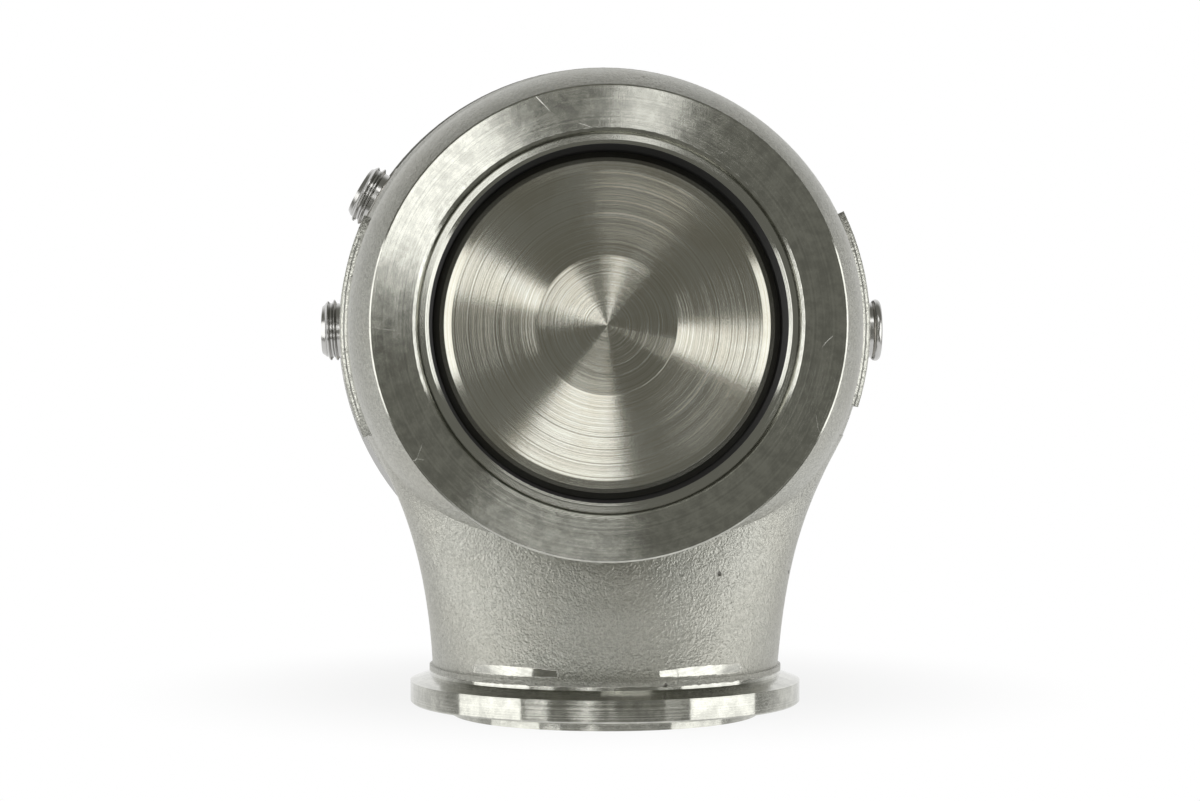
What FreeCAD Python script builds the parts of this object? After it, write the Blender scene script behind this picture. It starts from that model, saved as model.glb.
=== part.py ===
import FreeCAD, Part
import math
import os
import re

import Sketcher

# Turbo wastegate: an external, V-band mounted exhaust wastegate with a pneumatic
# diaphragm actuator.  Every piece on the valve axis is drawn in one working frame
# whose origin is the centre of the inlet sealing face: X to the right, Y along the
# valve axis towards the actuator, Z up.  Each piece's Placement then carries it to
# the part's own frame, whose origin is the centre of the outlet's lowest face.
# Lengths are millimetres and angles are degrees.

SIZES = [
    # --- layout ---------------------------------------------------------------
    ("outlet_drop", 19.8),          # outlet's lowest face below the actuator's rim
    ("outlet_setback", 15.0),       # outlet axis ahead of the housing's rear face
    ("valve_travel", 12.0),         # lift of the valve from shut to fully open
    # --- V-band flanges -------------------------------------------------------
    ("vband_angle", 20.0),          # slope of the clamped cone
    ("inlet_radius", 42.0),
    ("inlet_rim", 4.2),
    ("inlet_groove_radius", 38.0),
    ("inlet_groove_end", 11.5),
    ("edge_break", 0.3),
    ("inlet_bore_break", 0.8),
    ("outlet_radius", 36.8),
    ("outlet_rim", 4.1),
    ("outlet_groove_radius", 33.2),
    ("outlet_groove_width", 1.6),
    ("outlet_pilot_radius", 28.9),
    ("outlet_pilot_length", 2.3),
    ("outlet_bore_radius", 27.2),
    # --- cast housing ---------------------------------------------------------
    ("body_radius", 48.0),
    ("body_widest", 31.0),          # where the cast ball is widest
    ("shoulder_setback", 11.0),     # rear flange starts to flare this far ahead of its face
    ("housing_flange_inset", 0.4),  # casting's rear edge inside the actuator's
    ("housing_flange_thick", 5.0),
    ("housing_length", 54.0),
    ("housing_wall", 4.6),
    ("rear_wall", 8.0),
    ("chamber_start", 20.6),
    ("guide_boss_radius", 13.0),
    ("guide_boss_length", 2.0),
    ("neck_radius", 32.6),
    ("neck_flare_radius", 85.0),
    ("neck_top_drop", 20.2),        # highest section of the neck, below the valve axis
    ("neck_front_low", 8.2),        # front of the neck just above the outlet flange
    ("neck_clearance", 1.5),        # neck's knee below the actuator's clamp flange
    ("neck_knee", 1.0),             # neck's back at the knee, behind the casting
    ("neck_front_high", 13.6),      # front of the neck where it meets the ball
    ("neck_back_margin", 4.0),      # neck's back ahead of the rear face, above the knee
    # --- raised side pads -----------------------------------------------------
    ("pad_radius", 49.9),
    ("pad_setback", 19.0),          # pads start this far ahead of the rear face
    ("pad_length", 14.5),
    ("pad_border", 1.6),
    ("pad_recess", 0.7),
    ("right_pad_up", 26.0),         # angles above and below the valve axis
    ("right_pad_down", 17.5),
    ("left_pad_up", 25.0),
    ("left_pad_down", 24.5),
    # --- seat ring ------------------------------------------------------------
    ("seat_collar_step", 0.4),      # collar stands out from the sleeve
    ("seat_collar_length", 10.0),
    ("seat_sleeve_wall", 1.3),
    ("seat_ring_length", 19.4),
    ("seat_bore_radius", 31.6),
    ("seat_width", 1.0),            # width of the 45 degree seat
    ("seat_front_break", 0.6),
    ("nose_relief", 0.6),           # bore is this much wider round the valve's nose
    ("nose_relief_lead", 1.0),      # relief starts this far ahead of the valve's face
    # --- valve ----------------------------------------------------------------
    ("valve_face_depth", 15.0),
    ("nose_clearance", 1.2),        # valve's nose inside the seat ring's bore
    ("nose_edge", 0.85),
    ("nose_bevel", 1.4),
    ("face_dish", 0.5),
    ("seat_gap", 0.1),              # shut valve to its seat, along the axis
    ("head_edge", 2.0),             # cylindrical edge behind the valve's seat
    ("head_clearance", 0.9),        # open valve's head short of the guide
    ("stem_radius", 5.0),
    ("stem_neck_radius", 4.0),      # threaded end through the piston stack
    ("stem_thread_length", 17.0),
    ("stem_clearance", 0.05),
    # --- valve guide ----------------------------------------------------------
    ("guide_radius", 8.0),
    ("guide_stand_out", 0.6),
    # --- gasket between housing and actuator ----------------------------------
    ("gasket_thick", 2.0),
    ("gasket_inset", 2.2),          # gasket's edge inside the base's
    ("gasket_hole_radius", 9.0),
    # --- actuator base --------------------------------------------------------
    ("clamp_overhang", 2.2),        # clamp flange beyond the base's body
    ("base_floor", 4.0),
    ("base_height", 22.0),
    ("clamp_radius", 53.0),
    ("base_flange_thick", 7.0),
    ("flange_break", 1.2),
    ("clamp_land", 11.5),           # width of the flange that grips the diaphragm
    ("stem_boss_radius", 12.0),
    ("stem_boss_height", 7.0),
    ("bushing_radius", 7.0),
    ("seal_radius", 9.0),
    ("seal_thick", 3.0),
    ("snap_ring_thick", 1.0),
    ("snap_ring_bore", 6.2),
    # --- screws that hold the base to the housing ------------------------------
    ("base_screw_count", 6),
    ("base_screw_inset", 10.5),     # screws inside the chamber's wall
    ("base_screw_radius", 3.0),
    ("base_screw_reach", 6.5),      # thread in the housing's rear wall
    ("base_washer_radius", 6.0),
    ("base_washer_thick", 1.0),
    ("screw_play", 0.3),
    ("head_ratio", 1.667),          # cap screw head radius to thread radius
    ("socket_ratio", 0.92),         # hexagon socket corner radius to thread radius
    # --- clocking pin ---------------------------------------------------------
    ("clocking_pin_radius", 2.0),
    ("clocking_pin_inset", 11.8),   # pin inside the base's edge
    ("clocking_pin_half", 4.0),
    # --- diaphragm and piston stack -------------------------------------------
    ("diaphragm_thick", 1.5),
    ("piston_drop", 6.5),           # shut piston below the clamped rim
    ("roll_width", 7.5),            # free ring of diaphragm between piston and wall
    ("piston_cup_thick", 2.5),
    ("spring_plate_thick", 3.0),
    ("plate_step", 1.6),
    ("stem_washer_radius", 8.5),
    ("stem_washer_thick", 1.6),
    ("stem_nut_corner", 7.5),
    ("stem_nut_thick", 6.5),
    # --- springs --------------------------------------------------------------
    ("outer_spring_inset", 6.5),    # mean coil inside the piston's edge
    ("outer_spring_width", 4.6),    # rectangular wire, width across the coil
    ("outer_spring_thick", 3.6),
    ("outer_spring_turns", 4.5),
    ("spring_radial_gap", 2.5),     # between the two coils
    ("inner_spring_width", 3.4),
    ("inner_spring_thick", 2.6),
    ("inner_spring_turns", 5.5),
    # --- cap ------------------------------------------------------------------
    ("cap_wall", 3.0),
    ("cap_flange_thick", 6.5),
    ("cap_height", 42.0),
    ("cap_top_thick", 4.0),
    ("cap_corner_radius", 9.0),
    ("cap_boss_radius", 10.0),
    ("cap_boss_height", 4.0),
    ("cap_screw_count", 10),
    ("cap_screw_inset", 4.1),       # screws inside the clamp flange's edge
    ("cap_screw_radius", 2.0),
    ("cap_screw_reach", 5.5),
    # --- ports ----------------------------------------------------------------
    ("port_depth", 7.5),            # port axis above the base's underside
    ("port_thread_radius", 6.0),
    ("port_thread_reach", 6.5),     # length of thread inside the wall
    ("port_bore_radius", 3.0),
    ("port_flat", 0.6),             # spot face that the seal sits on
    ("seal_ring_thick", 1.0),
    ("seal_ring_width", 1.4),
    ("left_port_angle", 180.0),
    ("upper_port_angle", 150.0),
    ("right_port_angle", 0.0),
    ("nipple_stand_out", 5.2),      # end of a nipple beyond its spot face
    ("nipple_break", 0.9),
    ("thread_relief", 0.5),         # undercut under the seal ring
    ("bead_stand_out", 4.8),
    ("bead_neck_radius", 5.45),
    ("bead_height", 0.65),
    ("bead_width", 1.7),
    ("cap_fitting_length", 14.0),
]

# Places and sizes that follow from the driving ones.  Names on the right are
# sheet aliases or other entries of this table.
DERIVED = {
    "axis_height": "clamp_radius + outlet_drop",
    "outlet_depth": "housing_length - outlet_setback",
    "body_shoulder": "housing_length - shoulder_setback",
    "pad_start": "housing_length - pad_setback",
    "seat_sleeve_radius": "seat_bore_radius + seat_sleeve_wall",
    "seat_collar_radius": "seat_sleeve_radius + seat_collar_step",
    "nose_radius": "seat_bore_radius - nose_clearance",
    "inlet_cone_end": "inlet_rim + (inlet_radius - inlet_groove_radius) * tan(vband_angle)",
    "flare_radius": "((body_widest - inlet_groove_end)^2 + (body_radius - inlet_groove_radius)^2)"
                    " / (2 * (body_radius - inlet_groove_radius))",
    "base_radius": "clamp_radius - clamp_overhang",
    "gasket_radius": "base_radius - gasket_inset",
    "housing_flange_radius": "base_radius - housing_flange_inset",
    "chamber_radius": "clamp_radius - clamp_land",
    "base_screw_pitch_radius": "chamber_radius - base_screw_inset",
    "clocking_pin_place": "base_radius - clocking_pin_inset",
    "piston_radius": "chamber_radius - roll_width",
    "outer_spring_radius": "piston_radius - outer_spring_inset",
    "inner_spring_radius": "outer_spring_radius - (outer_spring_width + inner_spring_width) / 2"
                           " - spring_radial_gap",
    "cap_screw_pitch_radius": "clamp_radius - cap_screw_inset",
    "nipple_end_radius": "port_seat + nipple_stand_out",
    "bead_end_radius": "port_seat + bead_stand_out",
    "chamber_wall_radius": "body_radius - housing_wall",
    "chamber_end": "housing_length - rear_wall",
    "outlet_low": "-axis_height",
    "outlet_face": "outlet_low + outlet_pilot_length",
    "outlet_rim_top": "outlet_face + outlet_rim",
    "outlet_cone_top": "outlet_rim_top + (outlet_radius - outlet_groove_radius) * tan(vband_angle)",
    "outlet_groove_top": "outlet_cone_top + outlet_groove_width",
    "seat_start": "seat_ring_length - seat_width",
    "nose_relief_start": "valve_face_depth - nose_relief_lead",
    "guide_start": "chamber_end - guide_boss_length - guide_stand_out",
    "head_back_depth": "guide_start - valve_travel - head_clearance",
    "head_radius": "seat_bore_radius + seat_width",
    "valve_seat_end": "seat_ring_length + seat_gap",
    "base_start": "housing_length + gasket_thick",
    "base_floor_top": "base_start + base_floor",
    "base_end": "base_start + base_height",
    "base_flange_start": "base_end - base_flange_thick",
    "stem_boss_top": "base_floor_top + stem_boss_height",
    "snap_ring_start": "stem_boss_top - snap_ring_thick",
    "seal_start": "snap_ring_start - seal_thick",
    "stack_start": "base_end - piston_drop - piston_cup_thick",
    "diaphragm_low": "stack_start + piston_cup_thick",
    "diaphragm_high": "diaphragm_low + diaphragm_thick",
    "plate_top": "diaphragm_high + spring_plate_thick",
    "washer_top": "plate_top + stem_washer_thick",
    "cap_start": "base_end + diaphragm_thick",
    "cap_flange_end": "cap_start + cap_flange_thick",
    "cap_end": "cap_start + cap_height",
    "cap_inside": "cap_end - cap_top_thick",
    "cap_boss_end": "cap_end + cap_boss_height",
    "cap_radius": "chamber_radius + cap_wall",
    "bore_radius": "stem_radius + stem_clearance",
    "port_place": "base_start + port_depth",
    "port_seat": "base_radius - port_flat",
    "port_tap_end": "port_seat - port_thread_reach",
    "bead_curve": "(bead_height^2 + (bead_width / 2)^2) / (2 * bead_height)",
}

CUTTING = ("PartDesign::Pocket", "PartDesign::Groove", "PartDesign::SubtractiveLoft")
LEAST_CUT = 0.01  # cubic millimetres
WORD = re.compile(r"\b[a-z]+(?:_[a-z]+)+\b")

doc = FreeCAD.newDocument("turbo_wastegate")
sheet = doc.addObject("Spreadsheet::Sheet", "Sizes")


def fill_sheet():
    """Write the driving sizes into the sheet, one alias each."""
    for row, (alias, number) in enumerate(SIZES, start=1):
        sheet.set(f"A{row}", alias)
        sheet.set(f"B{row}", str(number))
        sheet.setAlias(f"B{row}", alias)
    doc.recompute()


def formula(text):
    """Turn a formula written with plain size names into a sheet expression."""
    def swap(match):
        name = match.group(0)
        if name in DERIVED:
            return "(" + formula(DERIVED[name]) + ")"
        return "Sizes." + name
    return WORD.sub(swap, str(text))


def number(text):
    """The present value of a formula."""
    return float(sheet.evalExpression(formula(text)))


# --- drawing helpers --------------------------------------------------------------


def new_body(label, on_axis=True):
    """A body in the working frame, placed where the valve axis stands."""
    body = doc.addObject("PartDesign::Body", label)
    body.Label = label
    body.AllowCompound = True
    if on_axis:
        body.setExpression("Placement.Base.y", formula("-outlet_depth"))
        body.setExpression("Placement.Base.z", formula("axis_height"))
    return body


def origin_plane(body, role):
    return next(item for item in body.Origin.OriginFeatures if item.Role == role)


def new_sketch(body, name, role="XY_Plane", shift=(0, 0, 0), turn=None):
    """A sketch on one of the body's own origin planes, shifted by formulas.

    turn is the name of an angle by which the plane is turned about the sketch's x axis.
    """
    sketch = body.newObject("Sketcher::SketchObject", name)
    sketch.AttachmentSupport = (origin_plane(body, role), [""])
    sketch.MapMode = "FlatFace"
    if turn is not None:
        angle = number(turn)
        sketch.AttachmentOffset = FreeCAD.Placement(
            FreeCAD.Vector(), FreeCAD.Rotation(FreeCAD.Vector(1, 0, 0), angle))
    for axis, amount in zip("xyz", shift):
        if amount != 0:
            sketch.setExpression(f"AttachmentOffset.Base.{axis}", formula(amount))
    return sketch


def set_measure(sketch, kind, geometry, point, text):
    """Tie one coordinate of a point (or a radius) to a formula."""
    if kind == "Radius":
        index = sketch.addConstraint(Sketcher.Constraint("Radius", geometry, number(text)))
    else:
        index = sketch.addConstraint(
            Sketcher.Constraint(kind, -1, 1, geometry, point, number(text)))
    sketch.setExpression(f"Constraints[{index}]", formula(text))


def pin_point(sketch, geometry, point, x, y):
    """Hold a point at two formulas; zero means on that axis."""
    if str(x) == "0" and str(y) == "0":
        sketch.addConstraint(Sketcher.Constraint("Coincident", geometry, point, -1, 1))
        return
    if str(x) == "0":
        sketch.addConstraint(Sketcher.Constraint("PointOnObject", geometry, point, -2))
    else:
        set_measure(sketch, "DistanceX", geometry, point, x)
    if str(y) == "0":
        sketch.addConstraint(Sketcher.Constraint("PointOnObject", geometry, point, -1))
    else:
        set_measure(sketch, "DistanceY", geometry, point, y)


def arc_between(start, end, radius):
    """Arc from start to end; a positive radius bulges to the right of the way."""
    chord = end.sub(start)
    half = chord.Length / 2
    across = FreeCAD.Vector(chord.y, -chord.x, 0).normalize()
    sagitta = abs(radius) - math.sqrt(max(radius * radius - half * half, 0))
    middle = start.add(chord.multiply(0.5)).add(across.multiply(math.copysign(sagitta, radius)))
    return Part.Arc(start, middle, end)


def nearer_end(sketch, geometry, place):
    """1 or 2: which end of an edge lies at the place."""
    first = sketch.getPoint(geometry, 1).distanceToPoint(place)
    second = sketch.getPoint(geometry, 2).distanceToPoint(place)
    return 1 if first < second else 2


def draw_outline(sketch, corners):
    """Closed outline through corners (x, y) or (x, y, radius of the arc that ends there)."""
    places = [FreeCAD.Vector(number(c[0]), number(c[1]), 0) for c in corners]
    edges = []
    for index, corner in enumerate(corners):
        start, end = places[index - 1], places[index]
        if len(corner) > 2:
            edge = arc_between(FreeCAD.Vector(start), FreeCAD.Vector(end), number(corner[2]))
        else:
            edge = Part.LineSegment(start, end)
        edges.append(sketch.addGeometry(edge, False))
    for index, corner in enumerate(corners):
        edge, following = edges[index], edges[(index + 1) % len(edges)]
        place = places[index]
        near, far = nearer_end(sketch, edge, place), nearer_end(sketch, following, place)
        sketch.addConstraint(Sketcher.Constraint("Coincident", edge, near, following, far))
        pin_point(sketch, edge, near, corner[0], corner[1])
        if len(corner) > 2:
            set_measure(sketch, "Radius", edge, 0, f"abs({corner[2]})")


def draw_circle(sketch, x, y, radius):
    centre = FreeCAD.Vector(number(x), number(y), 0)
    circle = sketch.addGeometry(
        Part.Circle(centre, FreeCAD.Vector(0, 0, 1), number(radius)), False)
    pin_point(sketch, circle, 3, x, y)
    set_measure(sketch, "Radius", circle, 0, radius)


def draw_polygon(sketch, x, y, corner_radius, sides):
    """Regular polygon about a centre, first corner along the sketch's x axis."""
    corners = []
    for index in range(sides):
        angle = 360 * index / sides
        corners.append((f"({x}) + ({corner_radius}) * cos({angle})",
                        f"({y}) + ({corner_radius}) * sin({angle})"))
    draw_outline(sketch, corners)


def draw_ellipse(sketch, y, half_width, half_depth):
    """Ellipse centred on the sketch's y axis, longer along x."""
    centre = FreeCAD.Vector(0, number(y), 0)
    wide, deep = number(half_width), number(half_depth)
    shape = Part.Ellipse(centre + FreeCAD.Vector(wide, 0, 0),
                         centre + FreeCAD.Vector(0, deep, 0), centre)
    ellipse = sketch.addGeometry(shape, False)
    sketch.exposeInternalGeometry(ellipse)
    long_axis, short_axis = ellipse + 1, ellipse + 2
    pin_point(sketch, ellipse, 3, 0, y)
    sketch.addConstraint(Sketcher.Constraint("Horizontal", long_axis))
    for axis, half in ((long_axis, half_width), (short_axis, half_depth)):
        index = sketch.addConstraint(Sketcher.Constraint("Distance", axis, 2 * number(half)))
        sketch.setExpression(f"Constraints[{index}]", formula(f"2 * ({half})"))


def axis_line(sketch, x1, y1, x2, y2):
    """Construction line to revolve about; returns its reference name."""
    line = sketch.addGeometry(Part.LineSegment(
        FreeCAD.Vector(number(x1), number(y1), 0), FreeCAD.Vector(number(x2), number(y2), 0)), True)
    pin_point(sketch, line, 1, x1, y1)
    pin_point(sketch, line, 2, x2, y2)
    return "Axis0"


# --- feature helpers --------------------------------------------------------------


def revolve(body, name, sketch, axis="V_Axis", cut=False, up=None, down=None):
    """Add or cut a full turn of the sketch, or a part turn from -down to +up degrees."""
    kind = "PartDesign::Groove" if cut else "PartDesign::Revolution"
    feature = body.newObject(kind, name)
    feature.Profile = sketch
    feature.ReferenceAxis = (sketch, [axis])
    feature.Angle = 360
    if up is not None:
        feature.Type = "TwoAngles"
        feature.setExpression("Angle", formula(up))
        feature.setExpression("Angle2", formula(down))
    return feature


def extrude(body, name, sketch, length, cut=False, backwards=False):
    """Pad or pocket the sketch along its normal, or against it."""
    feature = body.newObject("PartDesign::Pocket" if cut else "PartDesign::Pad", name)
    feature.Profile = sketch
    feature.setExpression("Length", formula(length))
    feature.Reversed = backwards
    return feature


def ring_pattern(body, name, features, count, angle=360):
    """Repeat features about the valve axis."""
    pattern = body.newObject("PartDesign::PolarPattern", name)
    pattern.Originals = features
    pattern.Axis = (origin_plane(body, "Y_Axis"), [""])
    pattern.Angle = angle
    pattern.setExpression("Occurrences", formula(count))
    body.Tip = pattern
    return pattern


def turned(label, corners, name="turning"):
    """A body turned about the valve axis from one outline (radius, depth)."""
    body = new_body(label)
    sketch = new_sketch(body, f"{label}_outline")
    draw_outline(sketch, corners)
    revolve(body, f"{label}_{name}", sketch)
    return body


def tube(label, inner, outer, start, end):
    return turned(label, [(inner, start), (outer, start), (outer, end), (inner, end)])


def hole_ring(body, name, pitch, radius, start, length, count):
    """Round holes towards the inlet, evenly spaced on a pitch circle."""
    sketch = new_sketch(body, f"{name}_sketch", "XZ_Plane", shift=(0, 0, f"-({start})"))
    draw_circle(sketch, pitch, "0", radius)
    hole = extrude(body, name, sketch, length, cut=True, backwards=True)
    return ring_pattern(body, f"{name}_ring", [hole], count)


# --- housing ----------------------------------------------------------------------


def housing_outside(body):
    sketch = new_sketch(body, "housing_outline")
    draw_outline(sketch, [
        ("0", "0"),
        ("inlet_radius - edge_break", "0"),
        ("inlet_radius", "edge_break"),
        ("inlet_radius", "inlet_rim"),
        ("inlet_groove_radius", "inlet_cone_end"),
        ("inlet_groove_radius", "inlet_groove_end"),
        ("body_radius", "body_widest", "flare_radius"),
        ("body_radius", "body_shoulder"),
        ("housing_flange_radius", "housing_length - housing_flange_thick"),
        ("housing_flange_radius", "housing_length"),
        ("0", "housing_length"),
    ])
    revolve(body, "cast_ball", sketch)


def neck_width(level):
    """Half width of the neck at a height below the valve axis (a wide arc)."""
    drop = f"({level} - outlet_groove_top)"
    return f"(neck_radius + neck_flare_radius - sqrt(neck_flare_radius^2 - {drop}^2))"


def neck_sections():
    """Height, front and back of each oval section of the neck above its round foot."""
    knee = "(-(clamp_radius + neck_clearance))"
    sections = []
    for rise, front_ease, back in (
            (0.0, 0.38, "housing_length + neck_knee"),
            (0.3, 0.75, "housing_length - neck_back_margin * 0.7"),
            (0.62, 0.95, "housing_length - neck_back_margin"),
            (1.0, 1.0, "housing_length - neck_back_margin")):
        level = f"({knee} + (-neck_top_drop - {knee}) * {rise})"
        front = f"(neck_front_low + (neck_front_high - neck_front_low) * {front_ease})"
        sections.append((level, front, f"({back})"))
    return sections


def neck_loft(body, name, wall, cut=False):
    """Loft from the round foot through the neck's ovals, all drawn in by the wall."""
    foot = new_sketch(body, f"{name}_foot", "XY_Plane", shift=(0, 0, "outlet_groove_top"))
    draw_circle(foot, "0", "outlet_depth", f"neck_radius - {wall}")
    ovals = []
    for index, (level, front, back) in enumerate(neck_sections()):
        oval = new_sketch(body, f"{name}_oval_{index}", "XY_Plane", shift=(0, 0, level))
        draw_ellipse(oval, f"({front} + {back}) / 2", f"{neck_width(level)} - {wall}",
                     f"({back} - {front}) / 2 - {wall}")
        ovals.append(oval)
    kind = "PartDesign::SubtractiveLoft" if cut else "PartDesign::AdditiveLoft"
    loft = body.newObject(kind, name)
    loft.Profile = foot
    loft.Sections = ovals
    return loft


def outlet_flange(body):
    sketch = new_sketch(body, "outlet_outline", "XZ_Plane", shift=(0, 0, "-outlet_depth"))
    draw_outline(sketch, [
        ("0", "outlet_low"),
        ("outlet_pilot_radius", "outlet_low"),
        ("outlet_pilot_radius", "outlet_face"),
        ("outlet_radius - edge_break", "outlet_face"),
        ("outlet_radius", "outlet_face + edge_break"),
        ("outlet_radius", "outlet_rim_top"),
        ("outlet_groove_radius", "outlet_cone_top"),
        ("outlet_groove_radius", "outlet_groove_top"),
        ("0", "outlet_groove_top"),
    ])
    revolve(body, "outlet_flange", sketch)


def side_pad(body, name, side, up, down):
    """Raised panel round one side of the ball, with a border and a bare sunk field."""
    sign = "" if side == "right" else "-"
    panel = new_sketch(body, f"{name}_outline")
    inner, outer = f"{sign}(body_radius - housing_wall / 2)", f"{sign}pad_radius"
    draw_outline(panel, [(inner, "pad_start"), (outer, "pad_start"),
                         (outer, "pad_start + pad_length"), (inner, "pad_start + pad_length")])
    first, second = (up, down) if side == "left" else (down, up)
    revolve(body, name, panel, up=first, down=second)
    field = new_sketch(body, f"{name}_field_outline")
    inner, outer = f"{sign}(pad_radius - pad_recess)", f"{sign}(pad_radius + 1)"
    draw_outline(field, [(inner, "pad_start + pad_border"), (outer, "pad_start + pad_border"),
                         (outer, "pad_start + pad_length - pad_border"),
                         (inner, "pad_start + pad_length - pad_border")])
    margin = "pad_border / pad_radius * 57.2958"
    revolve(body, f"{name}_field", field, cut=True, up=f"{first} - {margin}",
            down=f"{second} - {margin}")


def housing_inside(body):
    """Seat-ring socket, valve chamber, guide bore and outlet bore."""
    sketch = new_sketch(body, "housing_bore_outline")
    draw_outline(sketch, [
        ("0", "0"),
        ("seat_collar_radius + inlet_bore_break + edge_break", "0"),
        ("seat_collar_radius + edge_break", "inlet_bore_break"),
        ("seat_collar_radius", "inlet_bore_break + edge_break"),
        ("seat_collar_radius", "seat_collar_length"),
        ("seat_sleeve_radius", "seat_collar_length"),
        ("seat_sleeve_radius", "chamber_start"),
        ("chamber_wall_radius", "body_widest", "flare_radius - housing_wall"),
        ("chamber_wall_radius", "chamber_end"),
        ("guide_boss_radius", "chamber_end"),
        ("guide_boss_radius", "chamber_end - guide_boss_length"),
        ("guide_radius", "chamber_end - guide_boss_length"),
        ("guide_radius", "housing_length"),
        ("0", "housing_length"),
    ])
    revolve(body, "valve_chamber", sketch, cut=True)
    neck_loft(body, "outlet_duct", "(neck_radius - outlet_bore_radius)", cut=True)
    mouth = new_sketch(body, "outlet_bore_outline", "XZ_Plane", shift=(0, 0, "-outlet_depth"))
    draw_outline(mouth, [
        ("0", "outlet_low"),
        ("outlet_bore_radius", "outlet_low"),
        ("outlet_bore_radius", "outlet_groove_top"),
        ("0", "outlet_groove_top"),
    ])
    revolve(body, "outlet_bore", mouth, cut=True)


def make_housing():
    body = new_body("valve_housing")
    housing_outside(body)
    neck_loft(body, "outlet_neck", "0")
    outlet_flange(body)
    side_pad(body, "right_pad", "right", "right_pad_up", "right_pad_down")
    side_pad(body, "left_pad", "left", "left_pad_up", "left_pad_down")
    housing_inside(body)
    hole_ring(body, "base_screw_hole", "base_screw_pitch_radius", "base_screw_radius",
              "housing_length", "base_screw_reach + screw_play", "base_screw_count")
    pin_hole(body, "clocking_hole", "housing_length", "clocking_pin_half")


def pin_hole(body, name, start, length):
    sketch = new_sketch(body, f"{name}_sketch", "XZ_Plane", shift=(0, 0, f"-({start})"))
    draw_circle(sketch, "0", "clocking_pin_place", "clocking_pin_radius")
    extrude(body, name, sketch, length, cut=True, backwards=True)


# --- valve ------------------------------------------------------------------------


def make_seat_ring():
    turned("valve_seat_ring", [
        ("seat_bore_radius + seat_front_break", "0"),
        ("seat_collar_radius - edge_break / 2", "0"),
        ("seat_collar_radius", "edge_break / 2"),
        ("seat_collar_radius", "seat_collar_length"),
        ("seat_sleeve_radius", "seat_collar_length"),
        ("seat_sleeve_radius", "seat_ring_length"),
        ("seat_bore_radius + seat_width", "seat_ring_length"),
        ("seat_bore_radius", "seat_start"),
        ("seat_bore_radius + nose_relief", "seat_start - nose_relief"),
        ("seat_bore_radius + nose_relief", "nose_relief_start"),
        ("seat_bore_radius", "nose_relief_start"),
        ("seat_bore_radius", "seat_front_break"),
    ])


def make_valve():
    """Tulip valve: dished turned nose, 45 degree seat, concave back and long stem."""
    slope = "valve_seat_end - (head_radius - nose_radius)"
    turned("valve", [
        ("0", "valve_face_depth + face_dish"),
        ("nose_radius - nose_edge - nose_bevel", "valve_face_depth"),
        ("nose_radius - nose_edge", "valve_face_depth + nose_bevel / 4"),
        ("nose_radius", "valve_face_depth + nose_bevel / 4 + nose_edge"),
        ("nose_radius", slope),
        ("head_radius", "valve_seat_end"),
        ("head_radius", "valve_seat_end + head_edge"),
        ("stem_radius", "head_back_depth", "-(head_radius + stem_radius)"),
        ("stem_radius", "stack_start"),
        ("stem_neck_radius", "stack_start"),
        ("stem_neck_radius", "stack_start + stem_thread_length - edge_break"),
        ("stem_neck_radius - edge_break", "stack_start + stem_thread_length"),
        ("0", "stack_start + stem_thread_length"),
    ])


def make_guide():
    tube("valve_guide", "bore_radius", "guide_radius", "guide_start", "housing_length")


# --- actuator base ----------------------------------------------------------------


def make_gasket():
    body = tube("heat_gasket", "gasket_hole_radius", "gasket_radius", "housing_length",
                "base_start")
    hole_ring(body, "gasket_screw_hole", "base_screw_pitch_radius",
              "base_screw_radius + screw_play", "base_start", "2 * gasket_thick",
              "base_screw_count")
    pin_hole(body, "gasket_pin_hole", "base_start", "2 * gasket_thick")


def port_tap(body, name, angle):
    """Spot face, tapped hole and air way of one side port."""
    steps = (
        ("spot_face", "port_thread_radius + seal_ring_width + screw_play", "port_seat",
         "port_flat + 1"),
        ("thread", "port_thread_radius", "port_tap_end", "port_thread_reach + port_flat + 1"),
        ("air_way", "port_bore_radius", "chamber_radius - 1", "base_radius - chamber_radius"),
    )
    for step, radius, start, length in steps:
        sketch = new_sketch(body, f"{name}_{step}_sketch", "YZ_Plane", turn=f"-{angle}",
                            shift=(0, f"({start}) * sin({angle})", f"({start}) * cos({angle})"))
        draw_circle(sketch, "port_place", "0", radius)
        extrude(body, f"{name}_{step}", sketch, length, cut=True, backwards=True)


def make_base():
    body = turned("actuator_base", [
        ("bushing_radius", "base_start"),
        ("base_radius - edge_break", "base_start"),
        ("base_radius", "base_start + edge_break"),
        ("base_radius", "base_flange_start"),
        ("clamp_radius - flange_break", "base_flange_start"),
        ("clamp_radius", "base_flange_start + flange_break"),
        ("clamp_radius", "base_end"),
        ("chamber_radius", "base_end"),
        ("chamber_radius", "base_floor_top"),
        ("stem_boss_radius", "base_floor_top"),
        ("stem_boss_radius", "stem_boss_top"),
        ("seal_radius", "stem_boss_top"),
        ("seal_radius", "seal_start"),
        ("bushing_radius", "seal_start"),
    ])
    hole_ring(body, "base_screw_pass", "base_screw_pitch_radius",
              "base_screw_radius + screw_play", "base_floor_top", "2 * base_floor",
              "base_screw_count")
    hole_ring(body, "cap_screw_tap", "cap_screw_pitch_radius", "cap_screw_radius",
              "base_end", "cap_screw_reach + screw_play", "cap_screw_count")
    sketch = new_sketch(body, "base_pin_sketch", "XZ_Plane", shift=(0, 0, "-base_start"))
    draw_circle(sketch, "0", "clocking_pin_place", "clocking_pin_radius")
    extrude(body, "base_pin_hole", sketch, "clocking_pin_half - gasket_thick", cut=True)
    for port in ("left", "upper", "right"):
        port_tap(body, f"{port}_port", f"{port}_port_angle")


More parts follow.
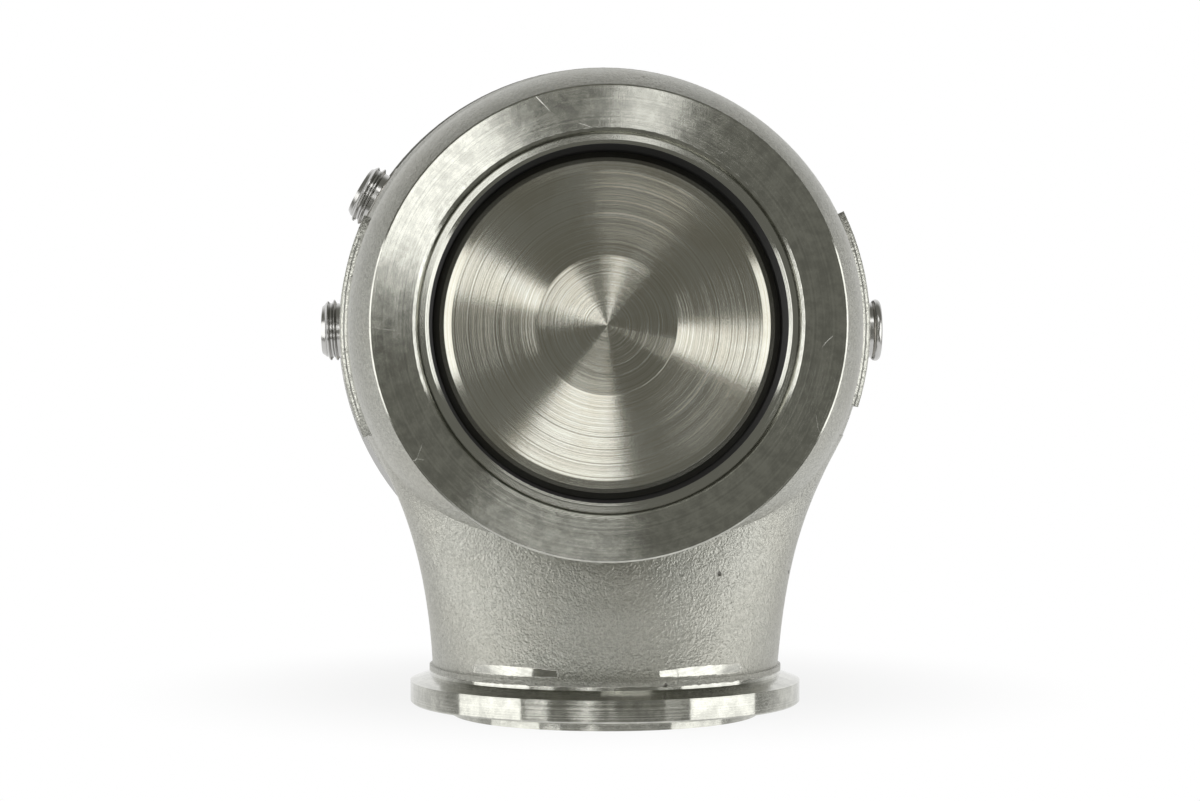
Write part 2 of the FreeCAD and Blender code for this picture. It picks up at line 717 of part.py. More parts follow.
def make_base_fittings():
    tube("stem_bushing", "bore_radius", "bushing_radius", "base_start", "seal_start")
    tube("stem_seal", "bore_radius", "seal_radius", "seal_start", "snap_ring_start")
    tube("seal_snap_ring", "snap_ring_bore", "seal_radius", "snap_ring_start", "stem_boss_top")
    body = new_body("clocking_pin")
    sketch = new_sketch(body, "clocking_pin_outline", "XZ_Plane",
                        shift=(0, 0, "-(housing_length - clocking_pin_half)"))
    draw_circle(sketch, "0", "clocking_pin_place", "clocking_pin_radius")
    extrude(body, "clocking_pin_pad", sketch, "2 * clocking_pin_half", backwards=True)


def cap_screws(label, pitch, radius, seat, reach, count):
    """Socket head cap screws on a pitch circle, heads towards the actuator's top."""
    body = new_body(label)
    sketch = new_sketch(body, f"{label}_outline")
    head = f"({radius}) * head_ratio"
    shank_end = f"({seat}) - ({reach})"
    draw_outline(sketch, [
        (pitch, shank_end),
        (f"{pitch} + {radius} - edge_break", shank_end),
        (f"{pitch} + {radius}", f"{shank_end} + edge_break"),
        (f"{pitch} + {radius}", seat),
        (f"{pitch} + {head}", seat),
        (f"{pitch} + {head}", f"({seat}) + 2 * {radius} - edge_break"),
        (f"{pitch} + {head} - edge_break", f"({seat}) + 2 * {radius}"),
        (pitch, f"({seat}) + 2 * {radius}"),
    ])
    axis = axis_line(sketch, pitch, shank_end, pitch, seat)
    screw = revolve(body, f"{label}_turning", sketch, axis=axis)
    socket = new_sketch(body, f"{label}_socket_outline", "XZ_Plane",
                        shift=(0, 0, f"-(({seat}) + 2 * {radius})"))
    draw_polygon(socket, pitch, "0", f"{radius} * socket_ratio", 6)
    pocket = extrude(body, f"{label}_socket", socket, radius, cut=True, backwards=True)
    ring_pattern(body, f"{label}_ring", [screw, pocket], count)


def make_base_screws():
    body = new_body("base_screw_washers")
    sketch = new_sketch(body, "washer_outline", "XZ_Plane", shift=(0, 0, "-base_floor_top"))
    draw_circle(sketch, "base_screw_pitch_radius", "0", "base_washer_radius")
    draw_circle(sketch, "base_screw_pitch_radius", "0", "base_screw_radius + screw_play")
    washer = extrude(body, "washer", sketch, "base_washer_thick", backwards=True)
    ring_pattern(body, "washer_ring", [washer], "base_screw_count")
    cap_screws("base_screws", "base_screw_pitch_radius", "base_screw_radius",
               "base_floor_top + base_washer_thick",
               "base_washer_thick + base_floor + gasket_thick + base_screw_reach",
               "base_screw_count")


# --- diaphragm and piston stack ---------------------------------------------------


def make_diaphragm():
    """Moulded sheet: clamped rim, rolling fold and the middle held by the piston."""
    bend = "(chamber_radius - piston_radius) / 2"
    middle = "(chamber_radius + piston_radius) / 2"
    body = turned("diaphragm", [
        ("stem_neck_radius", "diaphragm_low"),
        ("piston_radius", "diaphragm_low"),
        (middle, "(diaphragm_low + base_end) / 2", bend),
        ("chamber_radius", "base_end", f"-{bend}"),
        ("clamp_radius", "base_end"),
        ("clamp_radius", "cap_start"),
        ("chamber_radius", "cap_start"),
        (f"{middle} - diaphragm_thick / 2", "(diaphragm_high + cap_start) / 2", bend),
        ("piston_radius", "diaphragm_high", f"-{bend}"),
        ("stem_neck_radius", "diaphragm_high"),
    ])
    hole_ring(body, "diaphragm_screw_hole", "cap_screw_pitch_radius",
              "cap_screw_radius + screw_play", "cap_start", "2 * diaphragm_thick",
              "cap_screw_count")


def make_piston_stack():
    turned("piston_cup", [
        ("stem_neck_radius", "stack_start"),
        ("piston_radius - piston_cup_thick", "stack_start"),
        ("piston_radius", "diaphragm_low", "piston_cup_thick"),
        ("stem_neck_radius", "diaphragm_low"),
    ])
    inside_inner = "inner_spring_radius - inner_spring_width / 2 - screw_play"
    outside_inner = "inner_spring_radius + inner_spring_width / 2 + screw_play"
    inside_outer = "outer_spring_radius - outer_spring_width / 2 - screw_play"
    turned("spring_plate", [
        ("stem_neck_radius", "diaphragm_high"),
        ("piston_radius - edge_break", "diaphragm_high"),
        ("piston_radius", "diaphragm_high + edge_break"),
        ("piston_radius", "plate_top"),
        (inside_outer, "plate_top"),
        (inside_outer, "plate_top + plate_step"),
        (outside_inner, "plate_top + plate_step"),
        (outside_inner, "plate_top"),
        (inside_inner, "plate_top"),
        (inside_inner, "plate_top + plate_step"),
        ("stem_washer_radius + screw_play", "plate_top + plate_step"),
        ("stem_washer_radius + screw_play", "plate_top"),
        ("stem_neck_radius", "plate_top"),
    ])
    tube("stem_washer", "stem_neck_radius", "stem_washer_radius", "plate_top", "washer_top")
    body = new_body("stem_nut")
    sketch = new_sketch(body, "nut_outline", "XZ_Plane", shift=(0, 0, "-washer_top"))
    draw_polygon(sketch, "0", "0", "stem_nut_corner", 6)
    draw_circle(sketch, "0", "0", "stem_neck_radius")
    extrude(body, "nut_blank", sketch, "stem_nut_thick", backwards=True)


def make_spring(label, mean_radius, width, thick, turns):
    """Rectangular-wire compression spring between the spring plate and the cap's top."""
    body = new_body(label)
    sketch = new_sketch(body, f"{label}_wire_outline")
    inner, outer = f"{mean_radius} - {width} / 2", f"{mean_radius} + {width} / 2"
    draw_outline(sketch, [(inner, "plate_top"), (outer, "plate_top"),
                          (outer, f"plate_top + {thick}"), (inner, f"plate_top + {thick}")])
    coil = body.newObject("PartDesign::AdditiveHelix", f"{label}_coil")
    coil.Profile = sketch
    coil.ReferenceAxis = (sketch, ["V_Axis"])
    coil.Mode = "height-turns-angle"
    coil.setExpression("Height", formula(f"cap_inside - plate_top - {thick}"))
    coil.setExpression("Turns", formula(turns))


# --- cap --------------------------------------------------------------------------


def make_cap():
    """Spring cap: bolting flange, thin wall, rounded top and a port boss."""
    body = turned("actuator_cap", [
        ("chamber_radius", "cap_start"),
        ("clamp_radius", "cap_start"),
        ("clamp_radius", "cap_flange_end - flange_break"),
        ("clamp_radius - flange_break", "cap_flange_end"),
        ("cap_radius", "cap_flange_end"),
        ("cap_radius", "cap_end - cap_corner_radius"),
        ("cap_radius - cap_corner_radius", "cap_end", "cap_corner_radius"),
        ("cap_boss_radius", "cap_end"),
        ("cap_boss_radius", "cap_boss_end - edge_break"),
        ("cap_boss_radius - edge_break", "cap_boss_end"),
        ("port_bore_radius", "cap_boss_end"),
        ("port_bore_radius", "cap_inside"),
        ("chamber_radius - cap_corner_radius + cap_wall", "cap_inside"),
        ("chamber_radius", "cap_inside - cap_corner_radius + cap_wall",
         "-(cap_corner_radius - cap_wall)"),
    ])
    tap = new_sketch(body, "cap_port_sketch", "XZ_Plane", shift=(0, 0, "-cap_boss_end"))
    draw_circle(tap, "0", "0", "port_thread_radius")
    extrude(body, "cap_port_thread", tap, "port_thread_reach", cut=True, backwards=True)
    hole_ring(body, "cap_screw_pass", "cap_screw_pitch_radius",
              "cap_screw_radius + screw_play", "cap_flange_end", "2 * cap_flange_thick",
              "cap_screw_count")


# --- ports ------------------------------------------------------------------------


def radial_piece(label, angle, corners):
    """A piece turned about a side port's axis; outline is (distance from it, along it)."""
    body = new_body(label, on_axis=False)
    sketch = new_sketch(body, f"{label}_outline")
    draw_outline(sketch, corners)
    revolve(body, f"{label}_turning", sketch)
    lie_radially(body, angle)
    return body


def lie_radially(body, angle):
    """Turn a body's own Y axis outwards along a side port."""
    spin = FreeCAD.Rotation(FreeCAD.Vector(0, 1, 0), FreeCAD.Vector(
        math.cos(math.radians(number(angle))), 0, math.sin(math.radians(number(angle)))))
    body.Placement = FreeCAD.Placement(
        FreeCAD.Vector(0, number("port_place - outlet_depth"), number("axis_height")), spin)
    body.setExpression("Placement.Base.y", formula("port_place - outlet_depth"))
    body.setExpression("Placement.Base.z", formula("axis_height"))


def make_nipple(label, angle):
    """Hollow threaded nipple screwed into a side port."""
    radial_piece(label, angle, [
        ("port_bore_radius", "port_tap_end"),
        ("port_thread_radius - nipple_break", "port_tap_end"),
        ("port_thread_radius", "port_tap_end + nipple_break"),
        ("port_thread_radius", "port_seat"),
        ("port_thread_radius - thread_relief", "port_seat"),
        ("port_thread_radius - thread_relief", "port_seat + seal_ring_thick"),
        ("port_thread_radius", "port_seat + seal_ring_thick"),
        ("port_thread_radius", "nipple_end_radius - nipple_break / 2"),
        ("port_thread_radius - nipple_break", "nipple_end_radius"),
        ("port_bore_radius", "nipple_end_radius"),
    ])


def make_bead_fitting(label, angle):
    """Hose fitting with a rounded bead at its end."""
    neck = "bead_neck_radius"
    radial_piece(label, angle, [
        ("port_bore_radius", "port_tap_end"),
        ("port_thread_radius - nipple_break", "port_tap_end"),
        ("port_thread_radius", "port_tap_end + nipple_break"),
        ("port_thread_radius", "port_seat + seal_ring_thick"),
        (neck, "port_seat + seal_ring_thick + nipple_break"),
        (neck, "bead_end_radius - bead_width"),
        (neck, "bead_end_radius", "bead_curve"),
        ("port_bore_radius", "bead_end_radius"),
    ])


def make_ports():
    make_nipple("left_port_nipple", "left_port_angle")
    make_nipple("upper_port_nipple", "upper_port_angle")
    make_bead_fitting("right_port_fitting", "right_port_angle")
    for port in ("left", "upper", "right"):
        radial_piece(f"{port}_port_seal", f"{port}_port_angle", [
            ("port_thread_radius", "port_seat"),
            ("port_thread_radius + seal_ring_width", "port_seat"),
            ("port_thread_radius + seal_ring_width", "port_seat + seal_ring_thick"),
            ("port_thread_radius", "port_seat + seal_ring_thick"),
        ])
    seat = "cap_boss_end"
    tube("cap_port_seal", "port_thread_radius", "port_thread_radius + seal_ring_width", seat,
         f"{seat} + seal_ring_thick")
    end = f"({seat} + cap_fitting_length)"
    turned("cap_port_fitting", [
        ("port_bore_radius", f"{seat} - port_thread_reach"),
        ("port_thread_radius - nipple_break", f"{seat} - port_thread_reach"),
        ("port_thread_radius", f"{seat} - port_thread_reach + nipple_break"),
        ("port_thread_radius", f"{seat} + seal_ring_thick"),
        ("port_thread_radius + seal_ring_width", f"{seat} + seal_ring_thick"),
        ("port_thread_radius + seal_ring_width", f"{seat} + 4 * seal_ring_thick"),
        ("bead_neck_radius", f"{seat} + 4 * seal_ring_thick"),
        ("bead_neck_radius", f"{end} - bead_width"),
        ("bead_neck_radius", end, "bead_curve"),
        ("port_bore_radius", end),
    ])


# --- building and writing ---------------------------------------------------------


def check_document():
    """Stop if any object failed, or a piece's shape is empty or broken."""
    failed = [item.Name for item in doc.Objects
              if "Invalid" in item.State or "Error" in item.State]
    if failed:
        raise RuntimeError("failed objects: " + ", ".join(failed))
    for item in doc.Objects:
        if item.TypeId in CUTTING and not removes_material(item):
            raise RuntimeError("cuts nothing: " + item.Name)
    for piece in pieces():
        if piece.Shape.isNull() or not piece.Shape.isValid() or not piece.Shape.Solids:
            raise RuntimeError("bad shape: " + piece.Label)


def removes_material(feature):
    return feature.Shape.Volume < feature.BaseFeature.Shape.Volume - LEAST_CUT


def pieces():
    return [item for item in doc.Objects if item.TypeId == "PartDesign::Body"]


def write_parts():
    os.makedirs("parts", exist_ok=True)
    for piece in pieces():
        piece.Shape.exportStep(os.path.join("parts", piece.Label + ".step"))
        print(f"{piece.Label:22s} solids {len(piece.Shape.Solids):2d}"
              f"  volume {piece.Shape.Volume:10.1f} mm3")


def main():
    fill_sheet()
    make_housing()
    make_seat_ring()
    make_valve()
    make_guide()
    make_gasket()
    make_base()
    make_base_fittings()
    make_base_screws()
    make_diaphragm()
    make_piston_stack()
    for spring in ("outer_spring", "inner_spring"):
        make_spring(spring, f"{spring}_radius", f"{spring}_width", f"{spring}_thick",
                    f"{spring}_turns")
    make_cap()
    cap_screws("cap_screws", "cap_screw_pitch_radius", "cap_screw_radius", "cap_flange_end",
               "cap_flange_thick + diaphragm_thick + cap_screw_reach", "cap_screw_count")
    make_ports()
    doc.recompute()
    check_document()
    write_parts()


main()
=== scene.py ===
import math

import bmesh
import bpy
from mathutils import Matrix, Vector


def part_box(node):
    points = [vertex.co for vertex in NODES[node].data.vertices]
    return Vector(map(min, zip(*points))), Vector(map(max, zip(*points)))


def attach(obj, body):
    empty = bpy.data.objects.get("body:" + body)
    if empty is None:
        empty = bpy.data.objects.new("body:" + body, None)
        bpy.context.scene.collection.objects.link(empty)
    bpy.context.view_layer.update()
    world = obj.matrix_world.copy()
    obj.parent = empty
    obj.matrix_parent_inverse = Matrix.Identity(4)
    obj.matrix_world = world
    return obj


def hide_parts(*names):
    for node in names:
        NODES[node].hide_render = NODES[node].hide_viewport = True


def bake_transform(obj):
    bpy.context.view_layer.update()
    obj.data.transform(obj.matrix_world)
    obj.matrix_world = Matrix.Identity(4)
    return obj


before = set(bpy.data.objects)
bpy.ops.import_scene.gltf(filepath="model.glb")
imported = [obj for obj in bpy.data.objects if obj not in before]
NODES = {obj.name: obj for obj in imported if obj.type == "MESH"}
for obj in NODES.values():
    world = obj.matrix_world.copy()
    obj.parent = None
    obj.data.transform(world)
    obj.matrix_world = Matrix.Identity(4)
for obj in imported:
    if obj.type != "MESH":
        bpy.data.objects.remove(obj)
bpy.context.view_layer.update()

# Turbo wastegate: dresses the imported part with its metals, cuts the threads, winds the springs,
# forms the diaphragm and sets the studio.  The valve's axis runs along Y, the outlet's along Z.

bl_info = {
    "name": "Turbo wastegate dresser",
    "version": (1, 0, 0),
    "blender": (4, 5, 0),
    "location": "View3D > Sidebar > Wastegate",
    "description": "Finishes, threads, springs, diaphragm and studio for a turbo wastegate",
    "category": "Object",
}


def middle(node):
    """Centre of a node's box at rest."""
    low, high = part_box(node)
    return (low + high) / 2


def mm(value):
    """A value in metres from millimetres."""
    return value * 0.001


VALVE_AXIS = middle("valve")
VALVE_LINE = (0.0, 0.0, VALVE_AXIS.z)       # a point on the valve's axis, which runs along Y
ALONG_Y = (0.0, 1.0, 0.0)
FRONTWARD = (0.0, -1.0, 0.0)
INLET_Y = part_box("valve_housing")[0].y

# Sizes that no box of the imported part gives, in metres.
TIP_RADIUS = 0.0554         # from the valve's axis to a nipple's tip
SHANK_DEPTH = 0.0070        # of a nipple's shank inside its seal
STEM_HOLE = 0.0042          # radius of the diaphragm's hole
ROLL_WIDTH = 0.0075         # of the diaphragm's rolled ring
SKIN_GAP = 0.00002          # between the diaphragm and what clamps it

# Names of the lamps, then their angles round the valve's axis and off it in degrees, their
# widths across and outward in metres, and their brightness.
LAMPS = (
    ("high_left_box", 137.0, 17.5, 0.27, 0.32, 2.0),
    ("high_strip", 77.0, 17.5, 0.085, 0.32, 1.5),
    ("low_front_box", 256.0, 26.0, 0.34, 0.16, 1.6),
    ("high_front_box", 73.0, 43.0, 0.51, 0.25, 2.1),
    ("near_left_strip", 167.0, 42.0, 0.27, 0.25, 2.1),
    ("near_right_strip", -19.0, 42.0, 0.22, 0.25, 2.0),
    ("left_soft_box", 180.0, 73.0, 0.73, 0.80, 1.9),
    ("right_soft_box", -3.0, 73.0, 0.77, 0.86, 2.0),
)
LAMP_DISTANCE = 1.0
LAMP_AIM = 0.01             # the point the lamps face, behind the inlet's face
ROOM_TINT = (1.0, 1.0, 0.9)
ROOM_LEVEL = 0.21
FLOOR_RADIUS = 0.24
FLOOR_Y = 0.17              # the floor's middle, behind the part
SHADOW_Y = 0.04             # the middle of the patch of floor that keeps the part's shadow
SHADOW_FADE = (0.03, 0.105)         # distances from there over which the shadow goes
SHADOW_SHARE = 0.14         # of the floor's own light in that patch
BEHIND_FADE = (0.2, 0.8)    # how far backward a reflection looks, from the grey room to white

# Mean slopes of the turning grooves, which lean outwards where the slope is positive.
FACE_LEAN = 0.11
CHAMFER_LEAN = -0.68        # added to the face's
EDGE_LEAN = 0.5             # added to the face's
OUTLET_LEAN = 0.09
VALVE_LEAN = 0.115          # at the valve's middle
VALVE_LEAN_RISE = 6.5       # for each metre from there, as far as its outer zone
VALVE_OUTER_LEAN = -0.39
VALVE_RIM_LEAN = -0.62

WHITE = (1.0, 1.0, 1.0)
# PAINTED_SHADE_BLACK is the black of the painted shade inside the seat ring's bore
PAINTED_SHADE_BLACK = (0.012, 0.011, 0.01)
# DIRT_AND_EDGE_SHADE darkens the valve's nicks, and is also painted shade on the valve's outer edge
DIRT_AND_EDGE_SHADE = (0.05, 0.05, 0.045)


# --- sizes and colours that a user may change ---------------------------------------------------

def length(name, text, default, least=0.0):
    """A size in metres, shown in the scene's unit."""
    return bpy.props.FloatProperty(name=name, description=text, default=default, min=least,
                                   unit="LENGTH", precision=5)


def ratio(name, text, default):
    """A share from nothing to all."""
    return bpy.props.FloatProperty(name=name, description=text, default=default, min=0.0, max=1.0,
                                   subtype="FACTOR")


def tint(name, text, default):
    """A colour."""
    return bpy.props.FloatVectorProperty(name=name, description=text, default=default, size=3,
                                         min=0.0, max=1.0, subtype="COLOR")


class CastFinish(bpy.types.PropertyGroup):
    colour: tint("Casting colour", "Bead-blasted stainless casting", (0.46, 0.46, 0.42))
    roughness: ratio("Casting roughness", "How matt the blasted skin is", 0.37)
    grain: length("Grain size", "Size of the blasted skin's grains", 0.0003)
    grain_depth: length("Grain depth", "Depth of the blasted skin's grains", 0.00006)


class TurnedFinish(bpy.types.PropertyGroup):
    colour: tint("Turned steel colour", "Machined stainless faces", (0.50, 0.50, 0.455))
    valve_colour: tint("Valve colour", "Face of the valve", (0.50, 0.498, 0.45))
    roughness: ratio("Turned roughness", "How matt a machined face is", 0.11)
    groove: length("Groove pitch", "Spacing of the finest turning grooves", 0.000012)
    tilt: ratio("Groove slope", "How steep the turning grooves are", 0.3)


class FittingSizes(bpy.types.PropertyGroup):
    pitch: length("Thread pitch", "Rise of the port threads in one turn", 0.00125, 0.0002)
    thread_depth: length("Thread depth", "Crest to root of the port threads", 0.0007)
    bore: length("Port bore", "Radius of the bore through each port", 0.003)
    colour: tint("Port colour", "Plated port fittings", (0.55, 0.545, 0.53))


class SpringSizes(bpy.types.PropertyGroup):
    outer_wire: length("Outer wire", "Thickness of the outer spring's wire", 0.0040)
    inner_wire: length("Inner wire", "Thickness of the inner spring's wire", 0.0030)
    outer_turns: bpy.props.FloatProperty(name="Outer turns", description="Turns of the outer spring",
                                         default=5.5, min=2.0, max=12.0)
    inner_turns: bpy.props.FloatProperty(name="Inner turns", description="Turns of the inner spring",
                                         default=6.5, min=2.0, max=14.0)
    colour: tint("Spring colour", "Oil-tempered spring wire", (0.20, 0.20, 0.21))


class DiaphragmSizes(bpy.types.PropertyGroup):
    colour: tint("Rubber colour", "Coated fabric of the diaphragm", (0.035, 0.035, 0.04))


class StudioSizes(bpy.types.PropertyGroup):
    lens: bpy.props.FloatProperty(name="Lens", description="Focal length of the camera in millimetres",
                                  default=81.4, min=20.0, max=300.0)
    camera: bpy.props.FloatVectorProperty(name="Camera place", description="Where the camera stands",
                                          default=(-0.0096, -0.514, 0.0629), size=3,
                                          subtype="TRANSLATION", unit="LENGTH")
    target: bpy.props.FloatVectorProperty(name="Camera aim", description="Where the camera looks",
                                          default=(-0.0016, -0.039, 0.0593), size=3,
                                          subtype="TRANSLATION", unit="LENGTH")
    floor_colour: tint("Floor colour", "Pale floor and backdrop", (0.80, 0.80, 0.80))
    strength: bpy.props.FloatProperty(name="Lamp level", description="Scales every lamp",
                                      default=1.0, min=0.0, max=10.0)


def shaded(colour, *shares):
    """A colour times one share, or a share for each channel, and no brighter than white."""
    shares = shares if len(shares) == 3 else shares * 3
    return tuple(min(1.0, channel * share) for channel, share in zip(colour, shares))


# --- shader maths ------------------------------------------------------------------------------

class Field:
    """A number or vector that changes over a surface.  Python's operators join numbers."""

    def __init__(self, recipe, socket):
        self.recipe, self.socket = recipe, socket

    def maths(self, operation, first, second=None):
        """One sum of a Field with a Field or a number."""
        parts = {0: first} if second is None else {0: first, 1: second}
        return self.recipe.node("ShaderNodeMath", {"operation": operation}, parts)

    def __add__(self, other): return self.maths("ADD", self, other)
    def __radd__(self, other): return self.maths("ADD", other, self)
    def __sub__(self, other): return self.maths("SUBTRACT", self, other)
    def __rsub__(self, other): return self.maths("SUBTRACT", other, self)
    def __mul__(self, other): return self.maths("MULTIPLY", self, other)
    def __rmul__(self, other): return self.maths("MULTIPLY", other, self)
    def __pow__(self, other): return self.maths("POWER", self, other)
    def __abs__(self): return self.maths("ABSOLUTE", self)


class Recipe:
    """The nodes of one material or world."""

    def __init__(self, owner):
        self.owner = owner
        owner.use_nodes = True
        self.tree = owner.node_tree
        self.tree.nodes.clear()
        self.place = self.node("ShaderNodeTexCoord", output="Object")
        self.facing = self.node("ShaderNodeNewGeometry", output="Normal")

    @classmethod
    def material(cls, name):
        """The nodes of a new material."""
        return cls(bpy.data.materials.new(name))

    def node(self, kind, settings=None, inputs=None, output=0):
        """Any node: its settings first, then the values or links of its sockets."""
        made = self.tree.nodes.new(kind)
        for name, value in (settings or {}).items():
            setattr(made, name, value)
        for key, value in (inputs or {}).items():
            socket = made.inputs[key]
            if isinstance(value, Field):
                self.tree.links.new(value.socket, socket)
            elif socket.type == "RGBA":
                socket.default_value = (*value, 1.0)
            else:
                socket.default_value = value
        return None if output is None else Field(self, made.outputs[output])

    def reach(self):
        """Distance from the valve's axis."""
        level = self.vector("SUBTRACT", self.place, VALVE_LINE)
        return self.vector("LENGTH", self.vector("MULTIPLY", level, (1.0, 0.0, 1.0)), output=1)

    def vector(self, operation, first, second=None, scale=None, output=0):
        """One sum of vectors; output 1 is its number, such as a length."""
        parts = {0: first}
        if second is not None:
            parts[1] = second
        if scale is not None:
            parts["Scale"] = scale
        return self.node("ShaderNodeVectorMath", {"operation": operation}, parts, output)

    def parts(self, vector):
        """The x, y and z of a vector."""
        split = self.node("ShaderNodeSeparateXYZ", None, {0: vector}).socket.node
        return [Field(self, out) for out in split.outputs]

    def join(self, x, y, z):
        """A vector of its x, y and z."""
        return self.node("ShaderNodeCombineXYZ", None, {0: x, 1: y, 2: z})

    def blend(self, share, first, second):
        """A colour that goes from first to second."""
        return self.node("ShaderNodeMix", {"data_type": "RGBA"}, {0: share, 6: first, 7: second}, 2)

    def over(self, share, below, above):
        """A vector that goes from below to above."""
        return self.node("ShaderNodeMix", {"data_type": "VECTOR"}, {0: share, 4: below, 5: above}, 1)

    def step(self, value, low, high):
        """0 below low, 1 above high, smooth between."""
        return self.node("ShaderNodeMapRange", {"interpolation_type": "SMOOTHSTEP"},
                         {0: value, 1: low, 2: high, 3: 0.0, 4: 1.0})

    def within(self, value, low, high):
        """1 below low, 0 above high, smooth between."""
        return 1.0 - self.step(value, low, high)

    def sine(self, angle):
        """The sine of an angle in radians."""
        return self.node("ShaderNodeMath", {"operation": "SINE"}, {0: angle})

    def maximum(self, first, *others):
        """The greatest of some numbers."""
        for other in others:
            first = self.node("ShaderNodeMath", {"operation": "MAXIMUM"}, {0: first, 1: other})
        return first

    def seen(self):
        """1 for the camera's rays, and 1 for the rays of glossy and clear surfaces."""
        camera, gloss, clear = (self.node("ShaderNodeLightPath", output=f"Is {kind} Ray")
                                for kind in ("Camera", "Glossy", "Transmission"))
        return camera, self.maximum(gloss, clear)

    def noise(self, size, detail=2.0, rough=0.5, at=None, twist=0.0, output=0):
        """Cloudy noise whose blobs are about size metres."""
        return self.node("ShaderNodeTexNoise", None,
                         {"Vector": at or self.place, "Scale": 1.0 / size, "Detail": detail,
                          "Roughness": rough, "Distortion": twist}, output)

    def line_noise(self, along, size, detail=0.0):
        """Noise along one number only."""
        return self.node("ShaderNodeTexNoise", {"noise_dimensions": "1D"},
                         {"W": along, "Scale": 1.0 / size, "Detail": detail})

    def cells(self, size, feature="F1", at=None, output=0):
        """Random cells about size metres wide."""
        return self.node("ShaderNodeTexVoronoi", {"feature": feature},
                         {"Vector": at or self.place, "Scale": 1.0 / size, "Randomness": 1.0},
                         output)

    def bump(self, height, depth, over=None, strength=1.0):
        """The normal of a relief depth metres deep, laid over another normal."""
        parts = {"Height": height, "Distance": depth, "Strength": strength}
        if over is not None:
            parts["Normal"] = over
        return self.node("ShaderNodeBump", None, parts)

    def finish(self, **sockets):
        """Closes the material with one Principled shader."""
        names = {"colour": "Base Color", "metal": "Metallic", "roughness": "Roughness",
                 "normal": "Normal", "ior": "IOR", "specular": "Specular IOR Level"}
        shader = self.node("ShaderNodeBsdfPrincipled", None,
                           {names[key]: value for key, value in sockets.items()})
        self.node("ShaderNodeOutputMaterial", None, {"Surface": shader}, None)
        return self.owner


# --- metals and soft materials -----------------------------------------------------------------

def turning(recipe, centre, axis, pitch, tilt, lean=0.0, facing=None):
    """Normal of a lathe-turned surface, and the distance from its axis.

    The grooves' slopes spread by tilt round lean."""
    facing = facing or recipe.facing
    spot = recipe.vector("SUBTRACT", recipe.place, centre)
    along = recipe.vector("DOT_PRODUCT", spot, axis, output=1)
    out = recipe.vector("SUBTRACT", spot, recipe.vector("SCALE", axis, scale=along))
    radius = recipe.vector("LENGTH", out, output=1)
    tangent = recipe.vector("NORMALIZE", recipe.vector("CROSS_PRODUCT", axis, out))
    across = recipe.vector("CROSS_PRODUCT", facing, tangent)
    groove = recipe.line_noise(radius + along * 0.83, pitch)
    slope = (groove - 0.5) * (2.0 * tilt) + lean
    leaning = recipe.vector("ADD", facing, recipe.vector("SCALE", across, scale=slope))
    return recipe.vector("NORMALIZE", leaning), radius


def lapping(recipe, turn):
    """Fine straight marks from a lapping stone, turned in the inlet face's plane."""
    wide, long = mm(0.16), mm(2.2)
    marks = recipe.node("ShaderNodeMapping", {"vector_type": "POINT"},
                        {"Vector": recipe.place, "Rotation": (0.0, math.radians(turn), 0.0),
                         "Scale": (1.0 / wide, 1.0 / wide, 1.0 / long)})
    return recipe.noise(1.0, 3.0, 0.6, at=marks)


def hairlines(recipe, size, width, share, twist):
    """A few thin scratches: 1 on a scratch."""
    warped = recipe.vector("ADD", recipe.place,
                           recipe.vector("SCALE", recipe.noise(size, 1.0, output=1), scale=twist))
    edge = recipe.cells(size, "DISTANCE_TO_EDGE", at=warped)
    line = recipe.within(edge * size, 0.0, width)
    apart = recipe.vector("ADD", recipe.place, (0.31, 0.17, 0.23))
    patches = recipe.step(recipe.noise(size * 0.8, 1.0, at=apart), 1.0 - share, 1.04 - share)
    return line * patches


def specks(recipe, size, share):
    """Sparse small pits: 1 in a pit."""
    near = recipe.cells(size)
    chosen = recipe.parts(recipe.cells(size, output=1))[0]
    ragged = recipe.noise(size * 0.25, 2.0) * 0.2
    return recipe.within(near + ragged, 0.16, 0.26) * recipe.step(chosen, 1.0 - share, 1.01 - share)


